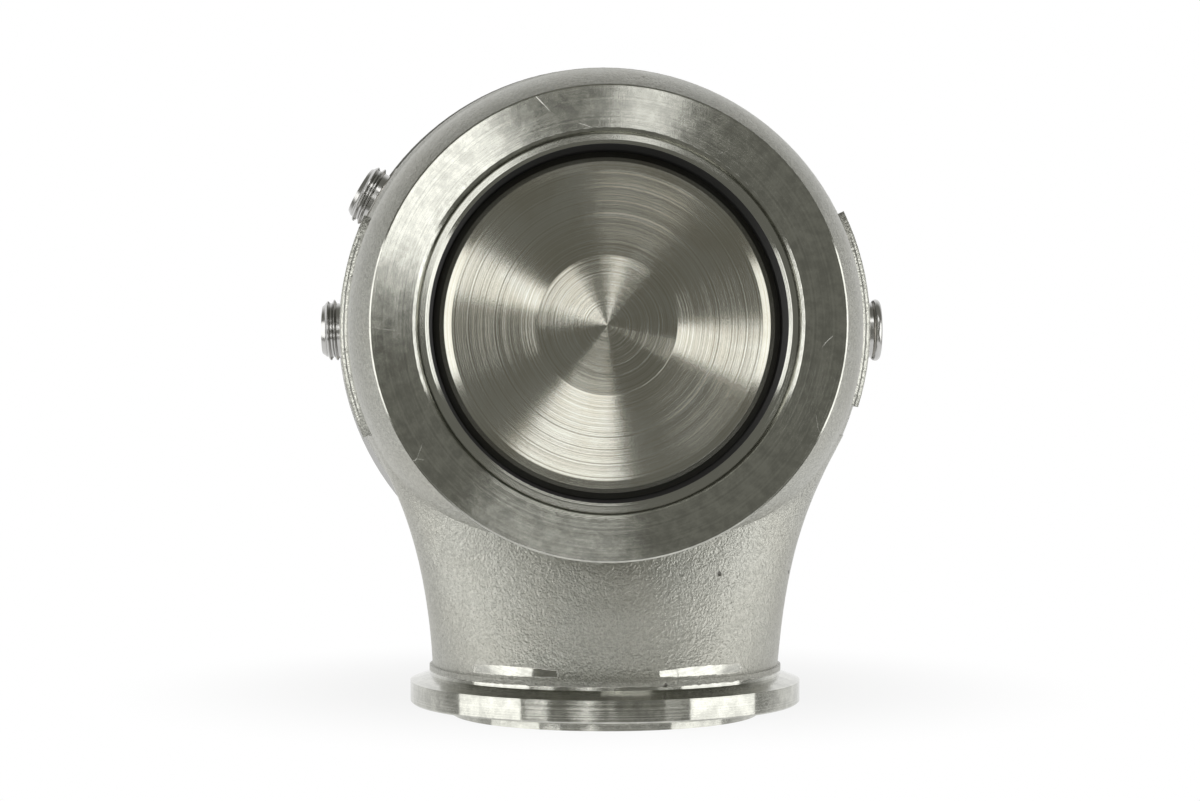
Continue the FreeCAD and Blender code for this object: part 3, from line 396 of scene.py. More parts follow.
def cast_skin(recipe, finish):
    """Colour, roughness and normal of the bead-blasted casting."""
    grain = recipe.noise(finish.grain, 3.0, 0.62)
    dimple = recipe.cells(finish.grain * 1.35, "SMOOTH_F1")
    peel = recipe.noise(finish.grain * 3.6, 2.0)
    wave = recipe.noise(mm(6.0), 2.0)
    height = grain * 0.9 + dimple * 0.8 + peel * 0.9
    pits = specks(recipe, mm(3.4), 0.022)

    # the body's edges beyond the inlet are shaded as if they were rounded
    bevel = recipe.node("ShaderNodeBevel", {"samples": 6}, {"Radius": mm(3.5)})
    normal = recipe.over(recipe.step(recipe.reach(), mm(44.5), mm(47.5)), recipe.facing, bevel)
    normal = recipe.bump(height, finish.grain_depth * 2.2, over=normal)
    normal = recipe.bump(wave, mm(0.6), over=normal, strength=0.35)
    normal = recipe.bump(1.0 - pits, mm(0.3), over=normal)

    mottle = grain * 0.4 + recipe.noise(finish.grain * 2.0, 2.0) * 0.6
    tone = recipe.blend(recipe.step(mottle, 0.36, 0.64), shaded(finish.colour, 0.84),
                        shaded(finish.colour, 1.12))
    cloudy = recipe.step(recipe.noise(mm(18.0), 3.0), 0.35, 0.7)
    tone = recipe.blend(cloudy * 0.35, tone, shaded(finish.colour, 0.93, 0.9, 0.86))
    tone = recipe.blend(pits * 0.8, tone, (0.06, 0.055, 0.05))
    rough = finish.roughness + (recipe.noise(mm(3.0), 2.0) - 0.5) * 0.12

    # each pad's front face has two ridges with painted highlights, and painted shade in the groove
    # between them
    x, _, z = recipe.parts(recipe.place)
    front = recipe.step(0.0 - recipe.parts(recipe.facing)[1], 0.5, 0.8)
    pad = recipe.step(abs(x), mm(46.0), mm(46.4)) * recipe.step(z, mm(40.0), mm(44.0)) * front
    ragged = recipe.noise(mm(0.9), 3.0, 0.6)
    strip = recipe.reach() + (ragged - 0.5) * mm(0.3)
    outer, groove, inner = (pad * recipe.within(abs(strip - mm(at)), mm(0.1), mm(0.28))
                            for at in (49.45, 49.12, 48.78))
    painted_ridge_highlight = (outer + inner) * recipe.step(ragged, 0.3, 0.5)
    # painted shade in the groove, then painted highlights on the two ridges
    tone = recipe.blend(groove * 0.7, tone, shaded(finish.colour, 0.35))
    tone = recipe.blend(painted_ridge_highlight, tone, shaded(finish.colour, 1.6))
    return tone, rough - painted_ridge_highlight * 0.12, normal


def housing_metal(cast, steel):
    """The casting, with its machined V-band faces."""
    recipe = Recipe.material("Cast and machined stainless")
    x, y, z = recipe.parts(recipe.place)
    aside = abs(x)
    depth = y - INLET_Y
    reach = recipe.reach()
    ragged = (recipe.noise(mm(1.2), 2.0) - 0.5) * mm(0.6)

    # the inlet's flange: a face, a chamfer into the seat and a worn outer edge
    shallow = recipe.within(depth, mm(1.0), mm(1.2))
    chamfer = recipe.within(reach, mm(34.3), mm(34.4)) * shallow
    worn_edge = recipe.step(reach, mm(41.66), mm(41.74)) * shallow
    flat = recipe.over(recipe.maximum(chamfer, worn_edge), recipe.facing, FRONTWARD)
    front, radius = turning(recipe, VALVE_LINE, ALONG_Y, steel.groove, steel.tilt * 0.55,
                            FACE_LEAN + chamfer * CHAMFER_LEAN + worn_edge * EDGE_LEAN, flat)
    inlet = recipe.within(depth + ragged, mm(11.3), mm(11.5)) \
        * recipe.within(radius, mm(42.3), mm(42.6))

    # the outlet's flange, and the ledge that its cutter leaves on the neck
    lower, _ = turning(recipe, (0.0, 0.0, 0.0), (0.0, 0.0, 1.0), steel.groove, steel.tilt * 0.7,
                       OUTLET_LEAN)
    outlet = recipe.within(z + ragged, mm(8.2), mm(8.45))
    across, height = aside + ragged * 2.0, z + ragged * 0.6
    top = mm(11.55) - (aside - mm(18.0)) ** 2 * 6.0
    ledge = recipe.step(across, mm(8.6), mm(9.2)) * recipe.within(across, mm(23.4), mm(25.0)) \
        * recipe.step(height, mm(9.75), mm(9.95)) * recipe.within(height, top - mm(0.2), top) \
        * recipe.within(y, mm(-6.0), mm(-5.0))
    round_wall = recipe.vector("NORMALIZE", recipe.join(x, y, 0.0))

    # marks of the stone, a few scratches, and stains that partly follow the turning
    marks = lapping(recipe, 38.0) * 0.6 + lapping(recipe, -52.0) * 0.4
    scratches = hairlines(recipe, mm(12.0), mm(0.04), 0.34, mm(3.0))
    rings = recipe.line_noise(radius + (z * 1.7 - radius) * outlet, mm(0.4), 4.0)
    stains = recipe.noise(mm(2.8), 5.0, 0.7) * 0.75 + rings * 0.25
    front = recipe.bump(marks, mm(0.004), over=front)
    front = recipe.bump(1.0 - scratches, mm(0.01), over=front)
    lower = recipe.bump(recipe.noise(mm(0.6), 2.0), mm(0.002), over=lower)
    bright = recipe.blend(recipe.step(stains, 0.36, 0.64), shaded(steel.colour, 0.80),
                          shaded(steel.colour, 1.1))
    bright = recipe.blend(scratches * 0.6, bright, (0.8, 0.79, 0.76))
    turned_rough = steel.roughness + (marks - 0.5) * 0.08 + (stains - 0.5) * 0.1

    cast_tone, cast_rough, cast_normal = cast_skin(recipe, cast)
    normal = recipe.over(inlet, cast_normal, front)
    normal = recipe.over(outlet, normal, lower)
    normal = recipe.over(ledge, normal, round_wall)
    normal = recipe.vector("NORMALIZE", normal)
    machined = recipe.maximum(inlet, outlet, ledge)
    tone = recipe.blend(machined, cast_tone, bright)
    rough = cast_rough + (turned_rough - cast_rough) * machined
    rough = rough - (rough - steel.roughness * 0.8) * recipe.maximum(outlet, ledge)
    return recipe.finish(colour=tone, metal=1.0, roughness=rough, normal=normal)


def ring_metal(steel):
    """Seat ring: fine turned in front, with painted shade that makes its bore black and not metal."""
    recipe = Recipe.material("Turned seat ring")
    lip = recipe.within(recipe.reach(), mm(32.15), mm(32.2))
    normal, _ = turning(recipe, VALVE_LINE, ALONG_Y, steel.groove, steel.tilt * 0.8,
                        FACE_LEAN + lip * CHAMFER_LEAN,
                        recipe.over(lip, recipe.facing, FRONTWARD))
    marks = lapping(recipe, 40.0)
    stains = recipe.noise(mm(6.0), 3.0)
    tone = recipe.blend(stains, shaded(steel.colour, 0.85), steel.colour)
    depth = recipe.parts(recipe.place)[1] - INLET_Y
    # painted shade: behind the front break the bore turns black and loses its metal
    painted_bore_shade = recipe.step(depth, mm(0.55), mm(1.4))
    return recipe.finish(colour=recipe.blend(painted_bore_shade, tone, PAINTED_SHADE_BLACK), metal=1.0 - painted_bore_shade,
                         roughness=steel.roughness + (marks - 0.5) * 0.06 + painted_bore_shade * 0.4,
                         normal=recipe.bump(marks, mm(0.003), over=normal))


def valve_metal(steel):
    """Valve: faced on a lathe, so light fans out from its middle."""
    recipe = Recipe.material("Faced valve steel")
    reach = recipe.reach()
    depth = recipe.parts(recipe.place)[1] - INLET_Y
    nose = recipe.within(depth, mm(16.3), mm(16.5))
    outer = recipe.step(reach, mm(12.55), mm(12.75))
    rim = recipe.step(reach, mm(28.1), mm(28.2)) * nose
    edge = recipe.step(reach, mm(29.5), mm(29.6)) * nose
    rings = recipe.line_noise(reach, mm(0.28), 4.0)
    bands = recipe.line_noise(reach, mm(2.6), 1.0)

    # the middle leans outwards, the rest and the bevelled rim inwards
    lean = (VALVE_LEAN + reach * VALVE_LEAN_RISE) * (1.0 - outer) + outer * VALVE_OUTER_LEAN
    lean = (lean + (bands - 0.5) * 0.12 + (rings - 0.5) * 0.22) * (1.0 - rim) \
        + (rim - edge) * VALVE_RIM_LEAN
    normal, _ = turning(recipe, VALVE_LINE, ALONG_Y, steel.groove,
                        steel.tilt * (1.0 - outer * 0.35), lean,
                        recipe.over(nose, recipe.facing, FRONTWARD))
    marks = recipe.noise(mm(0.3), 3.0, 0.65)
    scratches = hairlines(recipe, mm(13.0), mm(0.04), 0.3, mm(4.0))
    nicks = specks(recipe, mm(4.0), 0.04)
    normal = recipe.bump(marks, mm(0.005), over=normal)
    normal = recipe.bump(1.0 - recipe.maximum(scratches, nicks), mm(0.01), over=normal)

    stains = recipe.noise(mm(14.0), 3.0, 0.55, twist=0.6)
    worn = recipe.step(stains * 0.5 + rings * 0.5, 0.35, 0.65)
    tone = recipe.blend(worn, steel.valve_colour, shaded(steel.valve_colour, 0.84, 0.81, 0.75))
    tone = recipe.blend(nicks, tone, DIRT_AND_EDGE_SHADE)
    # painted shade darkens the valve's outer edge
    tone = recipe.blend(edge * 0.6, tone, DIRT_AND_EDGE_SHADE)
    rough = steel.roughness + outer * 0.05 + (marks - 0.5) * 0.1
    return recipe.finish(colour=tone, metal=1.0, roughness=rough, normal=normal)


def plain_turned(name, colour, pitch, tilt, roughness):
    """A metal with faint marks, turned about the valve's axis."""
    recipe = Recipe.material(name)
    normal, radius = turning(recipe, VALVE_LINE, ALONG_Y, pitch, tilt)
    rings = recipe.line_noise(radius, pitch * 5.0, 1.0)
    clouds = recipe.noise(mm(8.0), 3.0)
    normal = recipe.bump(rings, mm(0.008), over=normal)
    tone = recipe.blend(clouds, shaded(colour, 0.88), shaded(colour, 1.05))
    return recipe.finish(colour=tone, metal=1.0, roughness=roughness + (clouds - 0.5) * 0.1,
                         normal=normal)


def satin_metal(name, colour, roughness, grain=mm(0.5)):
    """A satin metal with fine grain, worn a little by handling."""
    recipe = Recipe.material(name)
    fine = recipe.noise(grain, 3.0, 0.6)
    clouds = recipe.noise(mm(4.0), 3.0)
    scratches = hairlines(recipe, mm(6.0), mm(0.04), 0.3, mm(10.0))
    tone = recipe.blend(clouds, shaded(colour, 0.84), shaded(colour, 1.08))
    normal = recipe.bump(fine - scratches, mm(0.01))
    return recipe.finish(colour=tone, metal=1.0,
                         roughness=roughness + (clouds - 0.5) * 0.12 + (fine - 0.5) * 0.08,
                         normal=normal)


def pressed_sheet(name):
    """Heat-insulating gasket: pressed dark fibre."""
    recipe = Recipe.material(name)
    fibre = recipe.noise(mm(0.7), 5.0, 0.7, twist=2.5)
    flecks = specks(recipe, mm(1.8), 0.25)
    tone = recipe.blend(fibre, (0.10, 0.095, 0.09), (0.22, 0.21, 0.195))
    tone = recipe.blend(flecks * 0.6, tone, (0.45, 0.43, 0.38))
    return recipe.finish(colour=tone, metal=0.0, roughness=0.78 + (fibre - 0.5) * 0.2,
                         normal=recipe.bump(fibre, mm(0.08)), specular=0.35)


def moulded_seal(name, colour):
    """Low-friction plastic seal."""
    recipe = Recipe.material(name)
    clouds = recipe.noise(mm(3.0), 3.0)
    tone = recipe.blend(clouds, shaded(colour, 0.92), colour)
    return recipe.finish(colour=tone, metal=0.0, roughness=0.4 + (clouds - 0.5) * 0.1,
                         normal=recipe.bump(recipe.noise(mm(0.4), 2.0), mm(0.01)), ior=1.38)


def coated_fabric(name, colour):
    """Diaphragm: fabric showing faintly through its rubber coat."""
    recipe = Recipe.material(name)
    x, y, z = recipe.parts(recipe.place)
    thread = 7000.0                 # radians to a metre
    weave = recipe.sine(x * thread) * recipe.sine((z + y) * thread)
    bloom = recipe.noise(mm(6.0), 3.0)
    tone = recipe.blend(recipe.step(bloom, 0.3, 0.8), colour, shaded(colour, 2.4))
    return recipe.finish(colour=tone, metal=0.0, roughness=0.62 + (bloom - 0.5) * 0.2,
                         normal=recipe.bump(weave, mm(0.04)), specular=0.4)


# --- modelling by hand, in code -----------------------------------------------------------------

def clear_selection():
    """Leaves edit mode with nothing selected."""
    if bpy.context.object and bpy.context.object.mode != "OBJECT":
        bpy.ops.object.mode_set(mode="OBJECT")
    bpy.ops.object.select_all(action="DESELECT")


def only(piece):
    """Selects one piece alone and makes it active."""
    clear_selection()
    piece.select_set(True)
    bpy.context.view_layer.objects.active = piece


def lathe(name, outline, sides):
    """Turns an outline of (radius, height) points about Z, extruding ring by ring."""
    clear_selection()
    (first_radius, first_height), *others = outline
    bpy.ops.mesh.primitive_circle_add(vertices=sides, radius=first_radius, location=(0, 0, 0))
    piece = bpy.context.object
    piece.name = piece.data.name = name
    bpy.ops.object.mode_set(mode="EDIT")
    bpy.ops.mesh.select_all(action="SELECT")
    bpy.ops.transform.translate(value=(0, 0, first_height))
    radius, height = first_radius, first_height
    for next_radius, next_height in others:
        bpy.ops.mesh.extrude_region_move(
            TRANSFORM_OT_translate={"value": (0, 0, next_height - height)})
        grow = next_radius / radius
        bpy.ops.transform.resize(value=(grow, grow, 1), center_override=(0, 0, next_height))
        radius, height = next_radius, next_height
    bpy.ops.mesh.select_all(action="SELECT")
    bpy.ops.mesh.remove_doubles(threshold=mm(0.002))
    bpy.ops.mesh.normals_make_consistent(inside=False)
    bpy.ops.object.mode_set(mode="OBJECT")
    return piece


def use_modifier(piece, kind, **settings):
    """Adds one modifier and applies it."""
    only(piece)
    modifier = piece.modifiers.new(kind.title(), kind)
    for name, value in settings.items():
        setattr(modifier, name, value)
    bpy.ops.object.modifier_apply(modifier=modifier.name)


def coil(name, section, turns, rise, steps):
    """Winds a flat closed section, given as (radius, height) corners, about Z, and caps it.

    It makes steps copies of the section in each turn."""
    clear_selection()
    bpy.ops.mesh.primitive_circle_add(vertices=len(section), radius=0.001, fill_type="NGON",
                                      location=(0, 0, 0), rotation=(math.pi / 2, 0, 0))
    piece = bpy.context.object
    piece.name = piece.data.name = name
    bpy.ops.object.transform_apply(location=True, rotation=True, scale=True)
    for vertex, (radius, height) in zip(piece.data.vertices, section):
        vertex.co = (radius, 0.0, height)
    only(piece)
    bpy.ops.object.mode_set(mode="EDIT")
    bpy.ops.mesh.select_all(action="SELECT")
    bpy.ops.mesh.delete(type="ONLY_FACE")
    bpy.ops.object.mode_set(mode="OBJECT")
    count = int(steps * turns)
    use_modifier(piece, "SCREW", axis="Z", angle=turns * math.tau, screw_offset=rise,
                 steps=count, render_steps=count, use_merge_vertices=False)
    only(piece)
    bpy.ops.object.mode_set(mode="EDIT")
    bpy.ops.mesh.select_all(action="DESELECT")
    bpy.ops.mesh.select_mode(type="EDGE")
    for at_top in (False, True):
        mesh = bmesh.from_edit_mesh(piece.data)
        rim = [edge for edge in mesh.edges if edge.is_boundary]
        heights = [(edge.verts[0].co.z + edge.verts[1].co.z) / 2 for edge in rim]
        split = (min(heights) + max(heights)) / 2
        last_end = len(rim) == len(section)
        for edge, height in zip(rim, heights):
            edge.select_set(last_end or (height > split) == at_top)
        bmesh.update_edit_mesh(piece.data)
        bpy.ops.mesh.edge_face_add()
        bpy.ops.mesh.select_all(action="DESELECT")
    bpy.ops.mesh.select_mode(type="VERT")
    bpy.ops.mesh.select_all(action="SELECT")
    bpy.ops.mesh.normals_make_consistent(inside=False)
    bpy.ops.object.mode_set(mode="OBJECT")
    return piece


def shade(piece, angle):
    """Smooths a piece, but for edges sharper than the angle in degrees."""
    only(piece)
    bpy.ops.object.shade_smooth_by_angle(angle=math.radians(angle))


def lay(piece, turn=(0, 0, 0), shift=(0, 0, 0)):
    """Turns and moves a piece, and leaves its object at the origin."""
    only(piece)
    piece.rotation_euler = turn
    piece.location = shift
    bpy.ops.object.transform_apply(location=True, rotation=True, scale=True)


def join(pieces, name):
    """Makes one object of some pieces."""
    clear_selection()
    for piece in pieces:
        piece.select_set(True)
    bpy.context.view_layer.objects.active = pieces[0]
    bpy.ops.object.join()
    joined = bpy.context.object
    joined.name = joined.data.name = name
    return joined


def dress(piece, material):
    """Puts one material in every slot of a piece."""
    slots = piece.data.materials
    if not slots:
        slots.append(material)
    for index in range(len(slots)):
        slots[index] = material


class WastegatePiece:
    """What the dressing operators share."""
    bl_options = {"REGISTER", "UNDO"}
    needs = ()

    def need_nodes(self):
        """Stops an operator whose nodes aren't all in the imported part."""
        missing = [name for name in self.needs if name not in NODES]
        if missing:
            raise RuntimeError(f"{self.bl_label}: not in the packed part: {', '.join(missing)}")


class WASTEGATE_OT_housing(WastegatePiece, bpy.types.Operator):
    """Finish the casting, with its machined flanges"""
    bl_idname = "wastegate.housing"
    bl_label = "Housing"
    needs = ("valve_housing",)

    def execute(self, context):
        self.need_nodes()
        scene = context.scene
        dress(NODES["valve_housing"], housing_metal(scene.wastegate_cast, scene.wastegate_steel))
        return {"FINISHED"}


class WASTEGATE_OT_valve(WastegatePiece, bpy.types.Operator):
    """Finish the valve, its seat ring and its guide"""
    bl_idname = "wastegate.valve"
    bl_label = "Valve, seat and guide"
    needs = ("valve", "valve_seat_ring", "valve_guide", "stem_bushing")

    def execute(self, context):
        self.need_nodes()
        steel = context.scene.wastegate_steel
        dress(NODES["valve"], valve_metal(steel))
        dress(NODES["valve_seat_ring"], ring_metal(steel))
        bronze = plain_turned("Guide bronze", (0.55, 0.40, 0.22), pitch=mm(0.1), tilt=0.2,
                              roughness=0.3)
        dress(NODES["valve_guide"], bronze)
        dress(NODES["stem_bushing"], bronze)
        return {"FINISHED"}


class WASTEGATE_OT_actuator(WastegatePiece, bpy.types.Operator):
    """Finish the actuator's base, cap, piston and its gasket"""
    bl_idname = "wastegate.actuator"
    bl_label = "Actuator shells"
    needs = ("actuator_base", "actuator_cap", "piston_cup", "spring_plate", "heat_gasket")

    def execute(self, context):
        self.need_nodes()
        alloy = plain_turned("Turned alloy", (0.47, 0.468, 0.455), pitch=mm(0.03), tilt=0.3,
                             roughness=0.22)
        for name in ("actuator_base", "actuator_cap", "piston_cup", "spring_plate"):
            dress(NODES[name], alloy)
        dress(NODES["heat_gasket"], pressed_sheet("Pressed fibre gasket"))
        return {"FINISHED"}


class WASTEGATE_OT_fasteners(WastegatePiece, bpy.types.Operator):
    """Finish the screws, washers, nut, pin and snap ring"""
    bl_idname = "wastegate.fasteners"
    bl_label = "Fasteners"
    needs = ("base_screws", "base_screw_washers", "cap_screws", "stem_nut", "stem_washer",
             "seal_snap_ring", "clocking_pin", "stem_seal")

    def execute(self, context):
        self.need_nodes()
        wire_colour = context.scene.wastegate_springs.colour
        steel = satin_metal("Dark fastener steel", (0.16, 0.16, 0.165), 0.34)
        for name in ("base_screws", "base_screw_washers", "cap_screws", "stem_nut", "stem_washer"):
            dress(NODES[name], steel)
        spring = satin_metal("Spring steel", wire_colour, 0.3)
        dress(NODES["seal_snap_ring"], spring)
        dress(NODES["clocking_pin"], spring)
        dress(NODES["stem_seal"], moulded_seal("Low-friction seal", (0.80, 0.79, 0.74)))
        return {"FINISHED"}


class WASTEGATE_OT_ports(WastegatePiece, bpy.types.Operator):
    """Cut the threads of the port nipples, and finish the fittings and their seals"""
    bl_idname = "wastegate.ports"
    bl_label = "Ports"
    needs = ("left_port_nipple", "upper_port_nipple", "right_port_fitting", "cap_port_fitting",
             "left_port_seal", "upper_port_seal", "right_port_seal", "cap_port_seal")

    def execute(self, context):
        self.need_nodes()
        sizes = context.scene.wastegate_fittings
        steel = satin_metal("Port steel", sizes.colour, 0.22)
        for node, name in (("left_port_nipple", "left_threaded_nipple"),
                           ("upper_port_nipple", "upper_threaded_nipple")):
            nipple = self.nipple(node, name, sizes)
            dress(nipple, steel)
            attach(nipple, "housing")
            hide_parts(node)
        for name in ("right_port_fitting", "cap_port_fitting"):
            dress(NODES[name], steel)
        iron = satin_metal("Soft iron seal", (0.50, 0.48, 0.44), 0.34)
        for name in ("left_port_seal", "upper_port_seal", "right_port_seal", "cap_port_seal"):
            dress(NODES[name], iron)
        return {"FINISHED"}

    def nipple(self, node, name, sizes):
        """A stud with a helical thread outside the wall and a plain shank inside it."""
        low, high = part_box(node)
        centre = (low + high) / 2
        axis = Vector((0.0, centre.y, VALVE_AXIS.z))
        way = middle(node.replace("nipple", "seal")) - axis
        way.y = 0.0
        seal_radius = way.length
        way.normalize()
        crest = (high.y - low.y) / 2
        shank = crest - mm(0.02)
        root = crest - sizes.thread_depth
        foot = root - mm(0.12)          # the ridge starts inside the core
        bore, tip = sizes.bore, TIP_RADIUS
        inner, start = seal_radius - SHANK_DEPTH, seal_radius + mm(0.5)
        # the shank, a step to the thread's core, and a bevel outside and inside the tip
        outline = [(bore, inner), (shank, inner), (shank, start), (root, start + mm(0.3)),
                   (root, tip - mm(0.8)), (root - mm(0.6), tip), (bore + mm(0.5), tip),
                   (bore, tip - mm(0.6)), (bore, inner)]
        body = lathe(name, outline, sides=72)
        pitch = sizes.pitch
        half_foot, half_crest = pitch * 0.44, pitch * 0.07
        section = [(foot, -half_foot), (crest, -half_crest), (crest, half_crest), (foot, half_foot)]
        turns = (tip - start - pitch * 1.2) / pitch
        steps, runout = 48, 14.0        # steps in a turn, and in the thread's fade at each end
        ridge = coil(name + "_ridge", section, turns, turns * pitch, steps)
        for index, vertex in enumerate(ridge.data.vertices):
            step = index // len(section)
            share = min(step, turns * steps - step) / runout
            if share < 1.0:
                reach = math.hypot(vertex.co.x, vertex.co.y)
                wanted = foot + (reach - foot) * max(0.0, share)
                vertex.co.x *= wanted / reach
                vertex.co.y *= wanted / reach
        lay(ridge, shift=(0, 0, start + pitch * 0.55))
        nipple = join([body, ridge], name)
        shade(nipple, 30.0)
        lay(nipple, turn=(0, math.pi / 2, 0))
        lay(nipple, turn=(0, -math.atan2(way.z, way.x), 0), shift=axis)
        return nipple


class WASTEGATE_OT_springs(WastegatePiece, bpy.types.Operator):
    """Wind the two springs from round wire, with closed and ground ends"""
    bl_idname = "wastegate.springs"
    bl_label = "Springs"
    needs = ("outer_spring", "inner_spring")

    def execute(self, context):
        self.need_nodes()
        sizes = context.scene.wastegate_springs
        steel = satin_metal("Spring wire", sizes.colour, 0.3, grain=mm(0.3))
        for node, name, wire, turns in (
                ("outer_spring", "outer_wire_spring", sizes.outer_wire, sizes.outer_turns),
                ("inner_spring", "inner_wire_spring", sizes.inner_wire, sizes.inner_turns)):
            spring = self.wind(node, name, wire, turns)
            dress(spring, steel)
            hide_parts(node)
            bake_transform(spring)
        return {"FINISHED"}

    def wind(self, node, name, wire, turns):
        """A spring between a node's ends, whose last turns lie close and are ground flat."""
        low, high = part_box(node)
        height = high.y - low.y
        half = wire / 2
        radius = (high.x - low.x) / 2 - half
        sides = 12
        section = [(radius + half * math.cos(a), half * math.sin(a))
                   for a in (math.tau * k / sides for k in range(sides))]
        spring = coil(name, section, turns, height, steps=32)
        closed, lead = 0.85, wire * 0.42        # turns at each end that lie close, and their rise
        ground = mm(0.05)
        low_end = half + lead * closed
        rings = len(spring.data.vertices) // sides
        for index, vertex in enumerate(spring.data.vertices):
            turn = turns * (index // sides) / (rings - 1)
            if turn < closed:
                centre = half + lead * turn
            elif turn > turns - closed:
                centre = height - half - lead * (turns - turn)
            else:
                share = (turn - closed) / (turns - 2 * closed)
                centre = low_end + share * (height - 2 * low_end)
            centre += section[index % sides][1]
            vertex.co.z = min(height - ground, max(ground, centre))
        lay(spring, turn=(-math.pi / 2, 0, 0), shift=(0, low.y, VALVE_AXIS.z))
        shade(spring, 40.0)
        return spring


class WASTEGATE_OT_diaphragm(WastegatePiece, bpy.types.Operator):
    """Form the diaphragm: a clamped rim, one rolled ring and a flat middle"""
    bl_idname = "wastegate.diaphragm"
    bl_label = "Diaphragm"
    needs = ("diaphragm", "piston_cup", "spring_plate", "actuator_base", "actuator_cap")

    def execute(self, context):
        self.need_nodes()
        low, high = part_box("diaphragm")
        rim = (high.x - low.x) / 2
        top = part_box("actuator_cap")[0].y - SKIN_GAP
        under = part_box("actuator_base")[1].y + SKIN_GAP
        plate_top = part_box("spring_plate")[0].y - SKIN_GAP
        cup_low, cup_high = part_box("piston_cup")
        plate_under = cup_high.y + SKIN_GAP
        plate = (cup_high.x - cup_low.x) / 2
        wall = plate + ROLL_WIDTH
        inside = plate - mm(0.2)
        steps, sag, thinning = 12, mm(0.7), mm(0.2)
        lower, upper = [], []
        for k in range(1, steps):
            share = k / steps
            swing = share * share * (3 - 2 * share)
            radius = plate + share * (wall - plate)
            height = plate_under + swing * (under - plate_under) - sag * math.sin(math.pi * share)
            lower.append((radius, height))
            upper.append((radius - thinning * math.sin(math.pi * (k - 1) / (steps - 1)),
                          height + (top - under)))
        outline = [(STEM_HOLE, plate_under), (inside, plate_under), *lower, (wall, under),
                   (rim, under), (rim, top), (wall, top), *upper[::-1], (inside, plate_top),
                   (STEM_HOLE, plate_top), (STEM_HOLE, plate_under)]
        piece = lathe("rolling_diaphragm", outline, sides=128)
        lay(piece, turn=(-math.pi / 2, 0, 0), shift=(0, 0, VALVE_AXIS.z))
        shade(piece, 45.0)
        dress(piece, coated_fabric("Coated fabric", context.scene.wastegate_diaphragm.colour))
        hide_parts("diaphragm")
        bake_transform(piece)
        return {"FINISHED"}


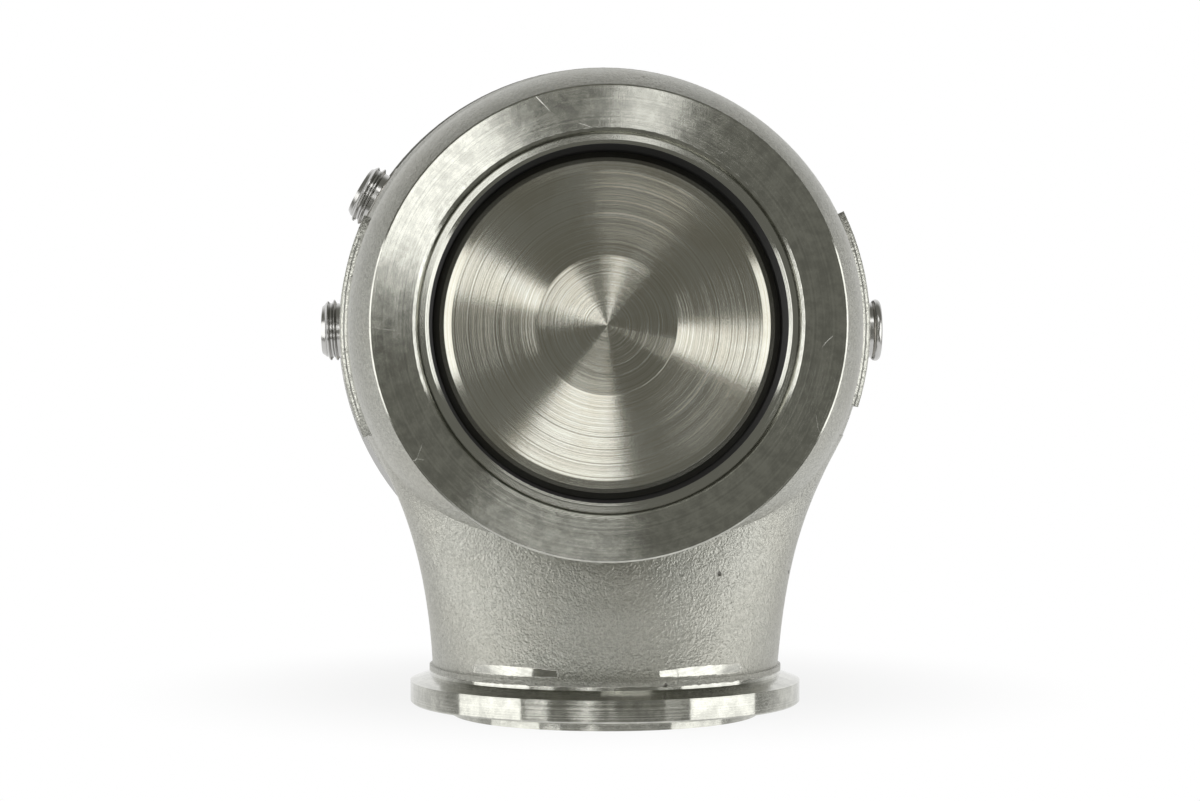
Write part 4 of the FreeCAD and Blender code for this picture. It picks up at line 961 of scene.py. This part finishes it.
class WASTEGATE_OT_studio(WastegatePiece, bpy.types.Operator):
    """Lay the pale floor, set the lamps and stand the camera"""
    bl_idname = "wastegate.studio"
    bl_label = "Studio"

    def execute(self, context):
        self.need_nodes()
        scene = context.scene
        sizes = scene.wastegate_studio
        self.floor(sizes.floor_colour)
        self.world(scene)
        self.camera(scene, sizes)
        scene.view_settings.view_transform = "Standard"
        for lamp in LAMPS:
            self.lamp(sizes.strength, *lamp)
        return {"FINISHED"}

    def floor(self, colour):
        """White to the camera and in reflections, but for the shadow round the part's foot."""
        clear_selection()
        bpy.ops.mesh.primitive_circle_add(vertices=128, radius=FLOOR_RADIUS, fill_type="TRIFAN",
                                          location=(0, FLOOR_Y, 0))
        floor = bpy.context.object
        floor.name = floor.data.name = "studio_floor"
        recipe = Recipe.material("Pale floor")
        shown = recipe.maximum(*recipe.seen())
        paper = recipe.node("ShaderNodeBsdfDiffuse", None, {"Color": colour})
        glow = recipe.node("ShaderNodeEmission", None, {"Color": WHITE, "Strength": 1.0})
        spot = recipe.vector("SUBTRACT", recipe.place, (0.0, SHADOW_Y - FLOOR_Y, 0.0))
        far = recipe.step(recipe.vector("LENGTH", spot, output=1), *SHADOW_FADE)
        share = shown * ((1.0 - SHADOW_SHARE) + far * SHADOW_SHARE)
        both = recipe.node("ShaderNodeMixShader", None, {0: share, 1: paper, 2: glow})
        recipe.node("ShaderNodeOutputMaterial", None, {"Surface": both}, None)
        dress(floor, recipe.owner)

    def world(self, scene):
        """A grey room, seen as white by the camera and in reflections of what is behind."""
        scene.world = bpy.data.worlds.new("Studio")
        recipe = Recipe(scene.world)
        camera, reflected = recipe.seen()
        way = recipe.node("ShaderNodeTexCoord", output="Generated")
        behind = recipe.step(recipe.parts(way)[1], *BEHIND_FADE)
        shown = recipe.maximum(camera, reflected * behind)
        room = recipe.node("ShaderNodeBackground", None,
                           {"Color": ROOM_TINT, "Strength": ROOM_LEVEL})
        white = recipe.node("ShaderNodeBackground", None, {"Color": WHITE, "Strength": 1.0})
        mixed = recipe.node("ShaderNodeMixShader", None, {0: shown, 1: room, 2: white})
        recipe.node("ShaderNodeOutputWorld", None, {"Surface": mixed}, None)

    def camera(self, scene, sizes):
        """Stands the camera in front of the inlet."""
        clear_selection()
        bpy.ops.object.camera_add(location=sizes.camera)
        camera = bpy.context.object
        camera.name = "studio_camera"
        camera.data.lens = sizes.lens
        camera.data.sensor_width = 36.0
        camera.data.clip_start = 0.01
        aim = Vector(sizes.target) - Vector(sizes.camera)
        camera.rotation_euler = aim.to_track_quat("-Z", "Y").to_euler()
        scene.camera = camera

    def lamp(self, level, name, azimuth, polar, across, outward, brightness):
        """A soft box facing the inlet, placed by its angles round the valve's axis and off it."""
        clear_selection()
        target = Vector((0, INLET_Y + LAMP_AIM, VALVE_AXIS.z))
        turn, tip = math.radians(azimuth), math.radians(polar)
        outward_way = Vector((math.cos(turn), 0.0, math.sin(turn)))
        way = outward_way * math.sin(tip) - Vector((0.0, math.cos(tip), 0.0))
        side = Vector((-math.sin(turn), 0.0, math.cos(turn)))
        bpy.ops.object.light_add(type="AREA", location=target + way * LAMP_DISTANCE)
        lamp = bpy.context.object
        lamp.name = lamp.data.name = name
        lamp.rotation_euler = Matrix((side, way.cross(side), way)).transposed().to_euler()
        lamp.data.shape = "RECTANGLE"
        lamp.data.size, lamp.data.size_y = across, outward
        lamp.data.energy = brightness * level * math.pi * across * outward


GROUPS = (
    ("wastegate_cast", CastFinish), ("wastegate_steel", TurnedFinish),
    ("wastegate_fittings", FittingSizes), ("wastegate_springs", SpringSizes),
    ("wastegate_diaphragm", DiaphragmSizes), ("wastegate_studio", StudioSizes),
)
OPERATORS = (
    WASTEGATE_OT_housing, WASTEGATE_OT_valve, WASTEGATE_OT_actuator, WASTEGATE_OT_fasteners,
    WASTEGATE_OT_ports, WASTEGATE_OT_springs, WASTEGATE_OT_diaphragm, WASTEGATE_OT_studio,
)


class WASTEGATE_PT_pieces(bpy.types.Panel):
    """Lists the pieces and their sizes"""
    bl_idname = "WASTEGATE_PT_pieces"
    bl_label = "Turbo wastegate"
    bl_space_type = "VIEW_3D"
    bl_region_type = "UI"
    bl_category = "Wastegate"

    def draw(self, context):
        for operator in OPERATORS:
            self.layout.operator(operator.bl_idname)
        for name, group in GROUPS:
            box = self.layout.box()
            for field in group.__annotations__:
                box.prop(getattr(context.scene, name), field)


def register():
    for name, group in GROUPS:
        bpy.utils.register_class(group)
        setattr(bpy.types.Scene, name, bpy.props.PointerProperty(type=group))
    for operator in OPERATORS:
        bpy.utils.register_class(operator)
    bpy.utils.register_class(WASTEGATE_PT_pieces)


def unregister():
    bpy.utils.unregister_class(WASTEGATE_PT_pieces)
    for operator in reversed(OPERATORS):
        bpy.utils.unregister_class(operator)
    for name, group in reversed(GROUPS):
        delattr(bpy.types.Scene, name)
        bpy.utils.unregister_class(group)


def main():
    register()
    for operator in OPERATORS:
        family, name = operator.bl_idname.split(".")
        getattr(getattr(bpy.ops, family), name)()


if __name__ == "__main__":
    main()
